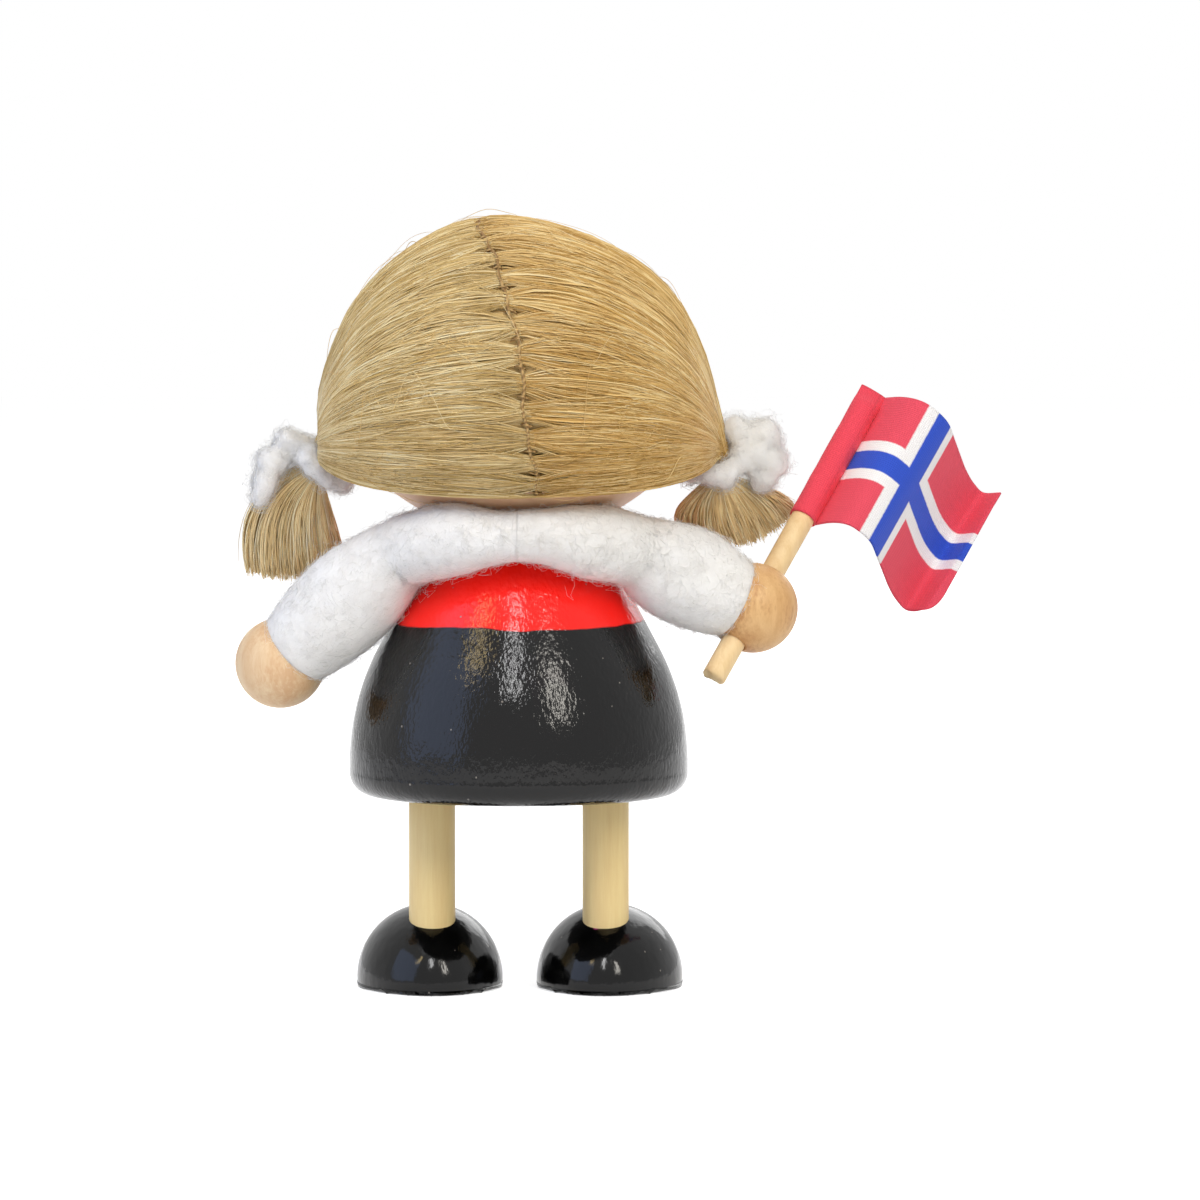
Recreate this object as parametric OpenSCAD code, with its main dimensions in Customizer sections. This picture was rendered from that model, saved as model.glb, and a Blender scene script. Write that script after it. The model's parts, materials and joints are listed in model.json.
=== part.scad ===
// Peg wooden doll: a turned bell body and an oblate ball head on a neck peg, two dowel legs in
// half-egg shoes, felt sleeves over one bendable wire, bead hands, a sewn flax hair cap with two
// tied pigtails, and a flag on a stick that turns in the drilled right hand.
// The doll faces -Y, stands on z = 0 and its right hand is at -X.

/* [Body] */
// Widest radius of the turned bell body
body_r = 22.6; // [18:0.1:26]
// Height of the widest place of the bell
belly_z = 30.5; // [28:0.5:34]
// Underside of the bell above the ground
body_bottom_z = 26.4; // [22:0.1:30]
// Flat top of the bell, where the head sits
body_top_z = 61.2; // [56:0.1:66]
// Radius of the curve of the flank
flank_r = 33; // [28:0.5:40]
// Angle of the straight upper flank from the upright
flank_angle = 28; // [24:0.5:30]
// Radius of the rounded shoulder
shoulder_round_r = 6; // [3:0.5:7]
// Radius of the rounded lower edge
hem_round_r = 3; // [1:0.1:4]
// Height of the line between the black skirt and the red bodice
waist_z = 49.6; // [44:0.1:56]

/* [Head] */
// Half width of the oblate head
head_r = 24.5; // [21:0.1:25]
// Half height of the oblate head
head_half_h = 20.5; // [18:0.1:21]
// Radius of the round nose
nose_r = 2.1; // [1.2:0.1:3]
// Distance of the nose below the middle of the head
nose_drop = 4; // [0:0.5:8]

/* [Pegs] */
// Diameter of the neck peg
neck_peg_d = 6; // [4:0.5:8]
// Depth of the neck peg in the body and in the head
neck_peg_depth = 8; // [5:0.5:10]
// Diameter of the leg dowels
leg_d = 6.2; // [5:0.1:8]
// Distance of each leg from the middle
leg_x = 11.6; // [10:0.1:13]
// Depth of each leg in the body
leg_in_body = 11; // [6:0.5:14]
// Depth of each leg in its shoe
leg_in_shoe = 6; // [4:0.5:7]

/* [Shoes] */
// Half width of a shoe
shoe_r = 9.8; // [8:0.1:10.5]
// Half length of a shoe
shoe_half_l = 13; // [11.5:0.1:15]
// Height of the widest line of a shoe above its sole
shoe_axis_z = 1.3; // [0.8:0.1:2.5]
// Distance of the middle of a shoe ahead of its leg
shoe_ahead = 5.2; // [3:0.1:7]
// Angle that the left toe turns outwards
toe_turn_left = 5; // [0:1:25]
// Angle that the right toe turns outwards
toe_turn_right = 6; // [0:1:25]

/* [Arms] */
// Diameter of the wire in the sleeves
wire_d = 1.5; // [1:0.1:2]
// Distance of each shoulder inside the widest radius of the body
shoulder_in = 5.11; // [4.8:0.01:5.2]
// Angle of each shoulder towards the back
shoulder_turn = 26.86; // [24:0.01:30]
// Distance of the shoulders below the top of the body
shoulder_drop = 2.2; // [1.4:0.1:2.4]
// Radius of the felt ball at a shoulder
shoulder_ball_r = 4.7; // [4:0.1:4.8]
// Shoulder to cuff of the left sleeve
left_sleeve_length = 19.1; // [17:0.1:22]
// Shoulder to cuff of the right sleeve
right_sleeve_length = 14.2; // [13:0.1:18]
// Angle of the left arm below the level
droop_left = 43; // [35:1:48]
// Angle of the right arm below the level
droop_right = 26; // [20:1:34]
// Angle of both arms towards the front
arm_forward = 15; // [8:1:20]
// Radius of a cuff
cuff_r = 5.35; // [4.8:0.05:5.6]
// How much the felt swells at the elbow
elbow_swell = 1.3; // [0:0.1:1.8]
// Radius of a bead hand
hand_r = 6; // [5.5:0.1:6.6]

/* [Flag] */
// Diameter of the flag stick
stick_d = 3.2; // [2.4:0.1:3.6]
// Length of the stick below the middle of the hand
stick_below = 11.9; // [8:0.1:14]
// Length of the stick above the middle of the hand
stick_above = 36.9; // [32:0.1:44]
// Lean of the stick to the side
stick_lean = 30.6; // [20:0.1:34]
// Lean of the stick towards the front
stick_forward = 27; // [20:1:32]
// Height of the flag along the stick
flag_hoist = 21.8; // [16:0.1:24]
// Thickness of the flag cloth
flag_t = 0.3; // [0.2:0.05:0.6]
// Distance of the fly edge from the stick
flag_reach = 22; // [16:0.1:26]
// Depth of the waves in the flag
flag_wave = 5.2; // [1:0.1:6]

/* [Hair] */
// Thickness of the flax hair on the head
hair_t = 1.8; // [1.2:0.1:2]
// Height of the hair above the crown of the head
hair_above = 2; // [1.8:0.1:4]
// Distance of the hair behind the back of the head
hair_behind = 2.2; // [2:0.1:3.5]
// Distance of each gather outside the side of the head
gather_out = 2.7; // [2.5:0.1:4.5]
// Distance of the gathers in front of the middle
gather_front = 3; // [2:0.1:4]
// Number of flax bundles sewn along the parting
bundles = 22; // [12:1:26]
// Depth of the furrows between the bundles
furrow = 0.45; // [0.1:0.05:0.7]
// Thickness of the sewing thread of the parting
thread_d = 0.6; // [0.4:0.1:0.8]
// Radius of a gathered pigtail inside its tie
root_r = 2.2; // [1.8:0.1:2.6]
// Radius of the fluffy yarn of the ties
yarn_r = 1.3; // [1:0.1:1.5]

/* [Hidden] */
$fn = 64;

// Clearances and overruns
// Glued fit of a peg in its bore
glue_gap = 0.05;
// Running fit of the stick in the hand
turn_gap = 0.05;
// Clearance of the wire in the felt
wire_gap = 0.4;
// Gap between a hand and its cuff
hand_gap = 0.2;
// Gap between the felt of an arm and of the back at the shoulder
shoulder_gap = 0.3;
// Gap between the hair and the head
hair_gap = 0.6;
// How far a cutting shape runs past what it cuts
overrun = 1;

// Faceted forms: sides of a ring and steps along a path
ring_sides = 16;
wire_sides = 8;
arm_steps = 6;
arch_steps = 12;
wave_steps = 18;
cap_rows = 2 * bundles;

// Body
flank_x = body_r - flank_r;
// Where the curved flank turns into the straight one
flank_top_r = flank_x + flank_r * cos(flank_angle);
flank_top_z = belly_z + flank_r * sin(flank_angle);
// Middle of the shoulder round, and where it meets the straight flank
shoulder_round_z = body_top_z - shoulder_round_r;
shoulder_round_x = flank_top_r
    - (shoulder_round_r + sin(flank_angle) * (shoulder_round_z - flank_top_z)) / cos(flank_angle);
shoulder_seam_r = shoulder_round_x + shoulder_round_r * cos(flank_angle);
shoulder_seam_z = shoulder_round_z + shoulder_round_r * sin(flank_angle);

// Head: a four-centre oval from the half width, the half height and its side radius
head_seat = 0.2;
head_z = body_top_z - head_seat + head_half_h;
nose_z = head_z - nose_drop;
head_flatness = 1 - head_half_h / head_r;
head_side_share = 0.1224;
head_side_r = pow(head_half_h, 2) / head_r * (1 + head_side_share * head_flatness);
head_crown_r = (pow(head_r, 2) - 2 * head_r * head_side_r + pow(head_half_h, 2))
    / (2 * (head_half_h - head_side_r));
head_seam_x = (head_r - head_side_r) * head_crown_r / (head_crown_r - head_side_r);
// How far the nose stands out of the face, and how deep its peg goes
nose_out_share = 0.4;
nose_peg_d = 1.6;
nose_peg_l = 4;

// Shoes: radius of the heel and of the toe as shares of the half width
heel_share = 0.72;
toe_share = 0.8;

// Arms
function forward(droop, side) = [side * cos(droop) * cos(arm_forward), -sin(arm_forward),
                                 -sin(droop) * cos(arm_forward)];
arm_dir_left = forward(droop_left, 1);
arm_dir_right = forward(droop_right, -1);
shoulder_x = (body_r - shoulder_in) * cos(shoulder_turn);
shoulder_y = (body_r - shoulder_in) * sin(shoulder_turn);
shoulder_z = body_top_z - shoulder_drop;
shoulder_left = [shoulder_x, shoulder_y, shoulder_z];
shoulder_right = [-shoulder_x, shoulder_y, shoulder_z];
// The felt sits round the back of each bead, on a sphere just larger than the bead
seat_r = hand_r + hand_gap;
cuff_wall = 0.35;
hand_past_cuff = sqrt(pow(seat_r, 2) - pow(cuff_r - cuff_wall, 2));
hand_left_c = shoulder_left + (left_sleeve_length + hand_past_cuff) * arm_dir_left;
hand_right_c = shoulder_right + (right_sleeve_length + hand_past_cuff) * arm_dir_right;
// How far the wire goes into a bead, from the surface
wire_in_hand = 2.2;
channel_r = wire_d / 2 + wire_gap;
// Flared mouth of the channel, where the wire bends at the shoulder
flare_r = 3;
// Yaw and droop of the ends of the felt behind the neck
arch_yaw = 33;
arch_droop = 20;
// Radius of the felt at the ends of the arch
arch_end_r = 3.7;
// Middle of the arch behind the neck, which clears the body and the underside of the head, and
// its half height and half depth there
arch_in = 6.5;
arch_head_stand = 4.2;
arch_back_z = body_top_z;
head_crown_z = head_z - head_half_h + head_crown_r;
arch_head_y = sqrt(pow(head_crown_r + arch_head_stand, 2) - pow(head_crown_z - arch_back_z, 2));
arch_back_y = max(body_r - arch_in, arch_head_y);
// How far the ends of the arch run straight
arch_lead_share = 0.3202;
arch_lead = arch_lead_share * (body_r - shoulder_in);
// Gap between the felt and the head, which squeezes the felt where it is nearer than that
arch_head_gap = 0.1;
arch_half_h = 3.5;
arch_half_d = 3.0;
// Swell of the felt between the middle and the ends
arch_swell = 0.7;
arch_level_share = 0.4;
// How near the felt comes to the head, as a share of its half height
arch_support = 0.97;
// Share of the arch that the felt leaves free at each shoulder, and its step for a tangent
arch_first = 0.17;
tangent_step = 0.01;
// Bore of a bead for the wire
wire_bore_gap = 0.1;
// Depth of the swell of the felt as a share of its height
swell_depth_share = 0.25;

// Flag
stick_dir = [-cos(stick_forward) * sin(stick_lean), -sin(stick_forward),
             cos(stick_forward) * cos(stick_lean)];
fly_dir = [-cos(stick_lean), 0, -sin(stick_lean)];
wave_dir = [-sin(stick_forward) * sin(stick_lean), cos(stick_forward),
            sin(stick_forward) * cos(stick_lean)];
hem_wall = 0.25;
hem_gap = 0.05;
hem_r = stick_d / 2 + hem_gap + hem_wall;
// How far the edges of the sheet lie inside the ends of the hem
sheet_in = 0.05;
stick_tip_round = 0.3;
// Shape of the wave: shares of the reach, and of the wave depth, from the stick to the fly
wave_share = [[0, 0], [0.14, 0.02], [0.25, 0.34], [0.38, 0.36], [0.51, -0.28], [0.65, -1.06],
              [0.81, -1.98], [0.92, -2.22], [1, -1.86]];

// Hair: each bundle lies in a plane through the line that joins the two gathers
hair_half_h = head_half_h + hair_above;
hair_top_z = head_z + hair_half_h;
hair_back_y = head_r + hair_behind;
gather_x = head_r + gather_out;
gather_drop_share = 0.4439;
gather_z = head_z - gather_drop_share * head_half_h;
// The nape ends over the felt behind the neck
nape_gap = 0.38;
nape_z = arch_back_z + arch_half_h + nape_gap;
nape_y = hair_back_y * sqrt(1 - pow((nape_z - head_z) / hair_half_h, 2));
nape_phi = atan2(nape_z - gather_z, nape_y + gather_front);
brow_phi = 128;
// How much the hair is drawn in at the nape
nape_tuck = 0.4;
// Radius of the opening in which each tie sits
mouth_r = 5.2;
// Depth of the seam below the hair
seam_dip = 0.35;
seam_half_angle = 4;
// Exponent of the bulge of a bundle between the crown and a gather
bulge_share = 0.909;
// Thinnest place of the hair as a share of its thickness
thinnest_share = 0.5;
// Columns of the cap as shares of the angle from the seam to a gather
column_share = [-1, -0.96, -0.88, -0.77, -0.63, -0.48, -0.32, -0.16, -0.05, 0,
                0.05, 0.16, 0.32, 0.48, 0.63, 0.77, 0.88, 0.96, 1];
// Places of the seam: angle over the head, and its shift to the left as a share of the gather
seam_shares = [[-19, -0.095], [-8, -0.09], [13, -0.04], [33, 0.015], [47, 0.09], [64, 0.17],
               [85, 0.19], [128, 0.06]];
seam_rings = 40;
thread_sides = 6;

// Ties and pigtails
tie_gap = 0.06;
tie_r = root_r + tie_gap + yarn_r;
// How far the middle of each tie is inside and below its gather
tie_left_in = 0.8;
tie_left_drop = 2;
tie_right_in = 0.9;
tie_right_drop = 2.2;
tie_left_c = [gather_x - tie_left_in, -gather_front, gather_z - tie_left_drop];
tie_right_c = [tie_right_in - gather_x, -gather_front, gather_z - tie_right_drop];
tie_left_dir = [0.62, -0.25, -0.74];
tie_right_dir = [-0.2, -0.25, -0.95];
// Length of the gathered root above and below the middle of its tie
root_half_length = 2.2;
// Middle of the cut end of each pigtail: how far outside, in front of and below its tie
pigtail_left_out = 3;
pigtail_left_front = 5.2;
pigtail_left_drop = 13.2;
pigtail_right_out = 2.5;
// The right pigtail falls further to the front of the stick, the further out its gather is
pigtail_swing_share = 0.75;
pigtail_swing_in = 4.6;
pigtail_right_front = pigtail_swing_share * (gather_x - shoulder_x) - pigtail_swing_in;
pigtail_right_drop = 6.8;
pigtail_left_end = tie_left_c + [pigtail_left_out, -pigtail_left_front, -pigtail_left_drop];
pigtail_right_end = tie_right_c - [pigtail_right_out, pigtail_right_front, pigtail_right_drop];
// Direction across each cut end, its half width, half depth and how far its middle hangs
pigtail_left_across = [1, 0, 0];
pigtail_right_across = [-0.96, -0.22, 0.13];
pigtail_left_half_w = 6.6;
pigtail_right_half_w = 7.4;
pigtail_left_half_d = 3.6;
pigtail_right_half_d = 2.4;
pigtail_left_hang = 2;
pigtail_right_hang = 3.6;
pigtail_steps = 6;
pigtail_sides = 24;
lock_depth_share = 0.07;
// How the fan opens, and shares of its width and of its hang towards the tip
fan_share = 0.8;
tip_shares = [[0.8, 0.6], [0.45, 0.9]];

function unit(v) = v / norm(v);
function lerp(a, b, t) = a + (b - a) * t;
function smooth(t) = let (k = min(1, max(0, t))) k * k * (3 - 2 * k);

// Smooth curve through a table of [key, value] pairs, read at x
function table_slope(pairs, i) = let (a = max(0, i - 1), b = min(len(pairs) - 1, i + 1))
    (pairs[b][1] - pairs[a][1]) / (pairs[b][0] - pairs[a][0]);
function table(pairs, x, i = 0) =
    i < len(pairs) - 2 && x > pairs[i + 1][0]
        ? table(pairs, x, i + 1)
        : let (w = pairs[i + 1][0] - pairs[i][0], t = (x - pairs[i][0]) / w)
            lerp(pairs[i][1], pairs[i + 1][1], t * t * (3 - 2 * t))
            + w * t * (1 - t) * ((1 - t) * table_slope(pairs, i) - t * table_slope(pairs, i + 1));

// Ring of n points round c, with half axes a along u and b along v
function ring(c, u, v, a, b, n) =
    [for (i = [0:n - 1]) c + a * cos(360 * i / n) * u + b * sin(360 * i / n) * v];

// Faces between two rings of n points that start at i and j
function band(i, j, n) = [for (k = [0:n - 1]) each [
    [i + k, j + k, j + (k + 1) % n],
    [i + k, j + (k + 1) % n, i + (k + 1) % n]]];

// Closed skin through rings, with a point before the first ring and after the last
module closed_loft(rings, first, last) {
    n = len(rings[0]);
    m = len(rings);
    points = concat([for (r = rings) each r], [first, last]);
    sides = [for (i = [0:m - 2]) each band(i * n, (i + 1) * n, n)];
    front = [for (k = [0:n - 1]) [m * n, k, (k + 1) % n]];
    back = [for (k = [0:n - 1]) [m * n + 1, (m - 1) * n + (k + 1) % n, (m - 1) * n + k]];
    polyhedron(points, concat(sides, front, back));
}

// Skin through rings that come back to the first one, as on a tube with a channel
module loop_loft(rings) {
    n = len(rings[0]);
    m = len(rings);
    faces = [for (i = [0:m - 1]) each band(i * n, ((i + 1) % m) * n, n)];
    polyhedron([for (r = rings) each r], faces);
}

// Turns +Z to the direction d
module aim(d) {
    rotate([0, acos(d[2] / norm(d)), atan2(d[1], d[0])]) children();
}

// Right half of a revolve profile
module half() {
    intersection() {
        children();
        translate([0, -2 * hair_top_z])
            square([2 * hair_top_z, 4 * hair_top_z]);
    }
}

// Turned bell body: a rounded hem, a curved flank, a straight flank and a round shoulder
module bell_profile() {
    intersection() {
        translate([flank_x, belly_z])
            circle(flank_r, $fn = 180);
        union() {
            translate([0, body_bottom_z])
                square([body_r - hem_round_r, hem_round_r]);
            translate([0, body_bottom_z + hem_round_r])
                square([body_r, flank_top_z - body_bottom_z - hem_round_r]);
            translate([body_r - hem_round_r, body_bottom_z + hem_round_r])
                circle(hem_round_r);
        }
    }
    polygon([[0, flank_top_z], [flank_top_r, flank_top_z], [shoulder_seam_r, shoulder_seam_z],
             [0, shoulder_seam_z]]);
    translate([0, shoulder_seam_z])
        intersection() {
            square([body_r, body_top_z - shoulder_seam_z]);
            union() {
                translate([shoulder_round_x, shoulder_round_z - shoulder_seam_z])
                    circle(shoulder_round_r);
                square([shoulder_round_x, body_top_z - shoulder_seam_z]);
            }
        }
}

module body_bores() {
    translate([0, 0, body_top_z - neck_peg_depth])
        cylinder(h = neck_peg_depth + overrun, d = neck_peg_d + 2 * glue_gap);
    for (side = [-1, 1])
        translate([side * leg_x, 0, body_bottom_z - overrun])
            cylinder(h = leg_in_body + overrun, d = leg_d + 2 * glue_gap);
}

module body() {
    color("red")
        difference() {
            intersection() {
                rotate_extrude() half() bell_profile();
                translate([-body_r, -body_r, waist_z])
                    cube([2 * body_r, 2 * body_r, body_top_z]);
            }
            body_bores();
        }
    color("black")
        difference() {
            intersection() {
                rotate_extrude() half() bell_profile();
                translate([-body_r, -body_r, 0])
                    cube([2 * body_r, 2 * body_r, waist_z]);
            }
            body_bores();
        }
}

// Oblate turned head, flat where it sits on the body
module head_profile() {
    translate([0, head_z]) {
        translate([head_r - head_side_r, 0])
            circle(head_side_r, $fn = 128);
        intersection() {
            translate([0, head_crown_r - head_half_h])
                circle(head_crown_r, $fn = 180);
            translate([0, head_half_h - head_crown_r])
                circle(head_crown_r, $fn = 180);
            translate([-head_seam_x, -head_half_h])
                square([2 * head_seam_x, 2 * head_half_h]);
        }
    }
}

module head() {
    color("wheat")
        difference() {
            rotate_extrude()
                intersection() {
                    half() head_profile();
                    translate([0, body_top_z])
                        square([head_r, 3 * head_half_h]);
                }
            translate([0, 0, body_top_z - overrun])
                cylinder(h = neck_peg_depth + overrun, d = neck_peg_d + 2 * glue_gap);
            translate([0, nose_base_y, nose_z])
                rotate([-90, 0, 0])
                    cylinder(h = nose_peg_l, d = nose_peg_d + 2 * glue_gap);
            translate([0, nose_base_y, nose_z])
                sphere(nose_r + glue_gap);
        }
}

module neck_peg() {
    color("tan")
        translate([0, 0, body_top_z - neck_peg_depth + glue_gap])
            cylinder(h = 2 * (neck_peg_depth - glue_gap), d = neck_peg_d);
}

// Front of the head at the height of the nose
nose_face_y = -head_r * sqrt(1 - pow((nose_z - head_z) / head_half_h, 2));
nose_base_y = nose_face_y + (1 - 2 * nose_out_share) * nose_r;

module nose() {
    color("burlywood")
        translate([0, nose_base_y, nose_z]) {
            sphere(nose_r);
            rotate([-90, 0, 0])
                cylinder(h = nose_peg_l - glue_gap, d = nose_peg_d);
        }
}

// Dowel leg from its bore in the shoe to its bore in the body
leg_bottom_z = shoe_axis_z + shoe_r - leg_in_shoe;

module leg(side) {
    color("wheat")
        translate([side * leg_x, 0, leg_bottom_z + glue_gap])
            cylinder(h = body_bottom_z + leg_in_body - leg_bottom_z - 2 * glue_gap, d = leg_d);
}

// Half-egg shoe: an egg turned about its length, cut flat below its widest line
module egg_profile() {
    for (end = [[-1, heel_share * shoe_r], [1, toe_share * shoe_r]]) {
        r = end[1];
        far = shoe_half_l - r;
        side_r = (pow(shoe_r, 2) - pow(r, 2) + pow(far, 2)) / (2 * (shoe_r - r));
        seam_y = far * side_r / (side_r - r);
        translate([0, end[0] * far])
            circle(r);
        intersection() {
            translate([shoe_r - side_r, 0])
                circle(side_r, $fn = 180);
            translate([0, end[0] > 0 ? 0 : -seam_y])
                square([shoe_r, seam_y]);
        }
    }
}

module shoe(side, turn) {
    color("black")
        translate([side * leg_x, 0, 0])
            rotate([0, 0, side * turn])
                difference() {
                    translate([0, -shoe_ahead, shoe_axis_z])
                        rotate([90, 0, 0])
                            rotate_extrude($fn = 96) half() egg_profile();
                    translate([-2 * shoe_r, -2 * shoe_half_l, -2 * shoe_r])
                        cube([4 * shoe_r, 4 * shoe_half_l, 2 * shoe_r]);
                    translate([0, 0, leg_bottom_z])
                        cylinder(h = shoe_r + leg_in_shoe, d = leg_d + 2 * glue_gap);
                }
}

// Felt sleeve of one arm: a ball at the shoulder, a swell at the elbow, a cupped cuff
function across(d) = unit(cross([0, 1, 0], d));
function arm_ring(s, d, at, a, b) = ring(s + at * d, across(d), cross(d, across(d)), a, b, ring_sides);
function swell(t) = elbow_swell * sin(180 * t);

module sleeve(s, d, l) {
    bead = s + (l + hand_past_cuff) * d;
    flare_angle = asin(flare_r / shoulder_ball_r);
    ball = [for (i = [0:3]) let (a = lerp(flare_angle, 90, i / 4))
        arm_ring(s, d, -shoulder_ball_r * cos(a), shoulder_ball_r * sin(a), shoulder_ball_r * sin(a))];
    outside = [for (i = [0:arm_steps]) let (t = i / arm_steps, r = lerp(shoulder_ball_r, cuff_r, t))
        arm_ring(s, d, l * t, r + swell(t), r + swell_depth_share * swell(t))];
    mouth_angle = asin((cuff_r - cuff_wall) / seat_r);
    seat = [for (i = [0:3]) let (a = lerp(mouth_angle, asin(channel_r / seat_r), i / 3))
        arm_ring(bead, d, -seat_r * cos(a), seat_r * sin(a), seat_r * sin(a))];
    channel = [arm_ring(s, d, 0, channel_r, channel_r)];
    color("white")
        loop_loft(concat(ball, outside, seat, channel));
}

// Felt behind the neck, from shoulder to shoulder, on a curve with four handles
function arch_dir(side) = [side * cos(arch_yaw) * cos(arch_droop),
                           -sin(arch_yaw) * cos(arch_droop), -sin(arch_droop)];
function arch_half(side, t) = let (
        a = [side * shoulder_x, shoulder_y, shoulder_z],
        b = a - arch_lead * arch_dir(side),
        d = [0, arch_back_y, arch_back_z],
        c = d + [side * arch_level_share * shoulder_x, 0, 0])
    pow(1 - t, 3) * a + 3 * pow(1 - t, 2) * t * b + 3 * (1 - t) * t * t * c + pow(t, 3) * d;
function arch(t) = t <= 0.5 ? arch_half(1, 2 * t) : arch_half(-1, 2 - 2 * t);
function arch_tangent(t) = unit(arch(min(1, t + tangent_step)) - arch(max(0, t - tangent_step)));
function arch_level(t) = unit(cross([0, 0, 1], arch_tangent(t)));
function arch_ring(t, a, b) =
    ring(arch(t), arch_level(t), cross(arch_tangent(t), arch_level(t)), b, a, ring_sides);
// Share of its size that the felt keeps at t, under the head
function arch_squeeze(t, a) =
    min(1, (norm(arch(t) - [0, 0, head_crown_z]) - head_crown_r - arch_head_gap) / (arch_support * a));
// Distance behind a shoulder at which the felt of the back ends
arch_cup_r = shoulder_ball_r + shoulder_gap;
function cup_ring(side, a) = let (d = arch_dir(side), u = unit(cross([0, 0, 1], side * -d)))
    ring([side * shoulder_x, shoulder_y, shoulder_z] - arch_cup_r * cos(a) * d,
         u, cross(side * -d, u), arch_cup_r * sin(a), arch_cup_r * sin(a), ring_sides);

module sleeve_back() {
    rim = asin(arch_end_r / arch_cup_r);
    last = 1 - arch_first;
    outside = [for (i = [0:arch_steps]) let (
            t = lerp(arch_first, last, i / arch_steps),
            k = sin(180 * (t - arch_first) / (last - arch_first)),
            s = arch_swell * sin(180 * min(1, 2 * min(t, 1 - t))),
            a = lerp(arch_end_r, arch_half_h, k) + s,
            b = lerp(arch_end_r, arch_half_d, k) + s / 2,
            q = arch_squeeze(t, a))
        arch_ring(t, q * a, q * b)];
    left = [for (i = [0:3]) cup_ring(1, lerp(cup_hole, rim, i / 3))];
    right = [for (i = [0:3]) cup_ring(-1, lerp(rim, cup_hole, i / 3))];
    channel = [for (i = [0:arch_steps])
        arch_ring(lerp(last, arch_first, i / arch_steps), channel_r, channel_r)];
    color("white")
        loop_loft(concat(left, outside, right, channel));
}

// One bendable wire from hand to hand, through both sleeves and behind the neck
cup_hole = asin(channel_r / arch_cup_r);
function wire_points() = concat(
    [hand_left_c - (hand_r - wire_in_hand) * arm_dir_left, shoulder_left,
     shoulder_left - arch_cup_r * cos(cup_hole) * arch_dir(1)],
    [for (i = [0:arch_steps]) arch(lerp(arch_first, 1 - arch_first, i / arch_steps))],
    [shoulder_right - arch_cup_r * cos(cup_hole) * arch_dir(-1), shoulder_right,
     hand_right_c - (hand_r - wire_in_hand) * arm_dir_right]);

module arm_wire() {
    p = wire_points();
    last = len(p) - 1;
    rings = [for (i = [0:last]) let (
            d = unit(p[min(last, i + 1)] - p[max(0, i - 1)]),
            u = unit(cross([0, 0, 1], d)))
        ring(p[i], u, cross(d, u), wire_d / 2, wire_d / 2, wire_sides)];
    color("silver")
        closed_loft(rings, p[0], p[last]);
}

// Bead hands, drilled for the wire, and the right one through for the stick
module wire_bore(c, d) {
    translate(c)
        aim(-d)
            translate([0, 0, hand_r - wire_in_hand - glue_gap])
                cylinder(h = hand_r, d = wire_d + 2 * wire_bore_gap);
}

module hand_left() {
    color("burlywood")
        difference() {
            translate(hand_left_c)
                sphere(hand_r);
            wire_bore(hand_left_c, arm_dir_left);
        }
}

module hand_right() {
    color("burlywood")
        difference() {
            translate(hand_right_c)
                sphere(hand_r);
            wire_bore(hand_right_c, arm_dir_right);
            translate(hand_right_c)
                aim(stick_dir)
                    translate([0, 0, -2 * hand_r])
                        cylinder(h = 4 * hand_r, d = stick_d + 2 * turn_gap);
        }
}

module flag_stick() {
    color("wheat")
        translate(hand_right_c)
            aim(stick_dir)
                translate([0, 0, -stick_below])
                    rotate_extrude()
                        half() {
                            translate([0, stick_tip_round])
                                square([stick_d / 2, stick_below + stick_above - 2 * stick_tip_round]);
                            square([stick_d / 2 - stick_tip_round, stick_below + stick_above]);
                            for (y = [stick_tip_round, stick_below + stick_above - stick_tip_round])
                                translate([stick_d / 2 - stick_tip_round, y])
                                    circle(stick_tip_round, $fn = 32);
                        }
}

// Cloth flag: a hem round the stick and a sheet whose waves run along the stick
function wave_point(s) = hand_right_c + (stick_above - sheet_in) * stick_dir
    + (hem_r - hem_wall / 2 + s * (flag_reach - hem_r)) * fly_dir
    + flag_wave * table(wave_share, s) * wave_dir;
function wave_normal(s) =
    unit(cross(stick_dir, wave_point(min(1, s + tangent_step)) - wave_point(max(0, s - tangent_step))));

module flag_sheet() {
    columns = [for (i = [0:wave_steps]) let (
            s = i / wave_steps,
            p = wave_point(s),
            n = wave_normal(s) * flag_t / 2,
            down = (2 * sheet_in - flag_hoist) * stick_dir)
        [p - n, p - n + down, p + n + down, p + n]];
    closed_loft(columns, (columns[0][0] + columns[0][2]) / 2,
                (columns[wave_steps][0] + columns[wave_steps][2]) / 2);
}

module flag() {
    color("crimson") {
        translate(hand_right_c)
            aim(stick_dir)
                translate([0, 0, stick_above - flag_hoist])
                    difference() {
                        cylinder(h = flag_hoist, r = hem_r);
                        translate([0, 0, -overrun])
                            cylinder(h = flag_hoist + 2 * overrun, r = stick_d / 2 + hem_gap);
                    }
        flag_sheet();
    }
}

// Distance of the hair from the line of the gathers, at an angle over the head
function hair_reach(phi) = let (
        c = cos(phi), s = sin(phi), y = -gather_front, z = gather_z - head_z,
        qa = pow(c / hair_back_y, 2) + pow(s / hair_half_h, 2),
        qb = 2 * (y * c / pow(hair_back_y, 2) + z * s / pow(hair_half_h, 2)),
        qc = pow(y / hair_back_y, 2) + pow(z / hair_half_h, 2) - 1)
    (-qb + sqrt(qb * qb - 4 * qa * qc)) / (2 * qa) - nape_tuck * smooth(-phi / -nape_phi);
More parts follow.
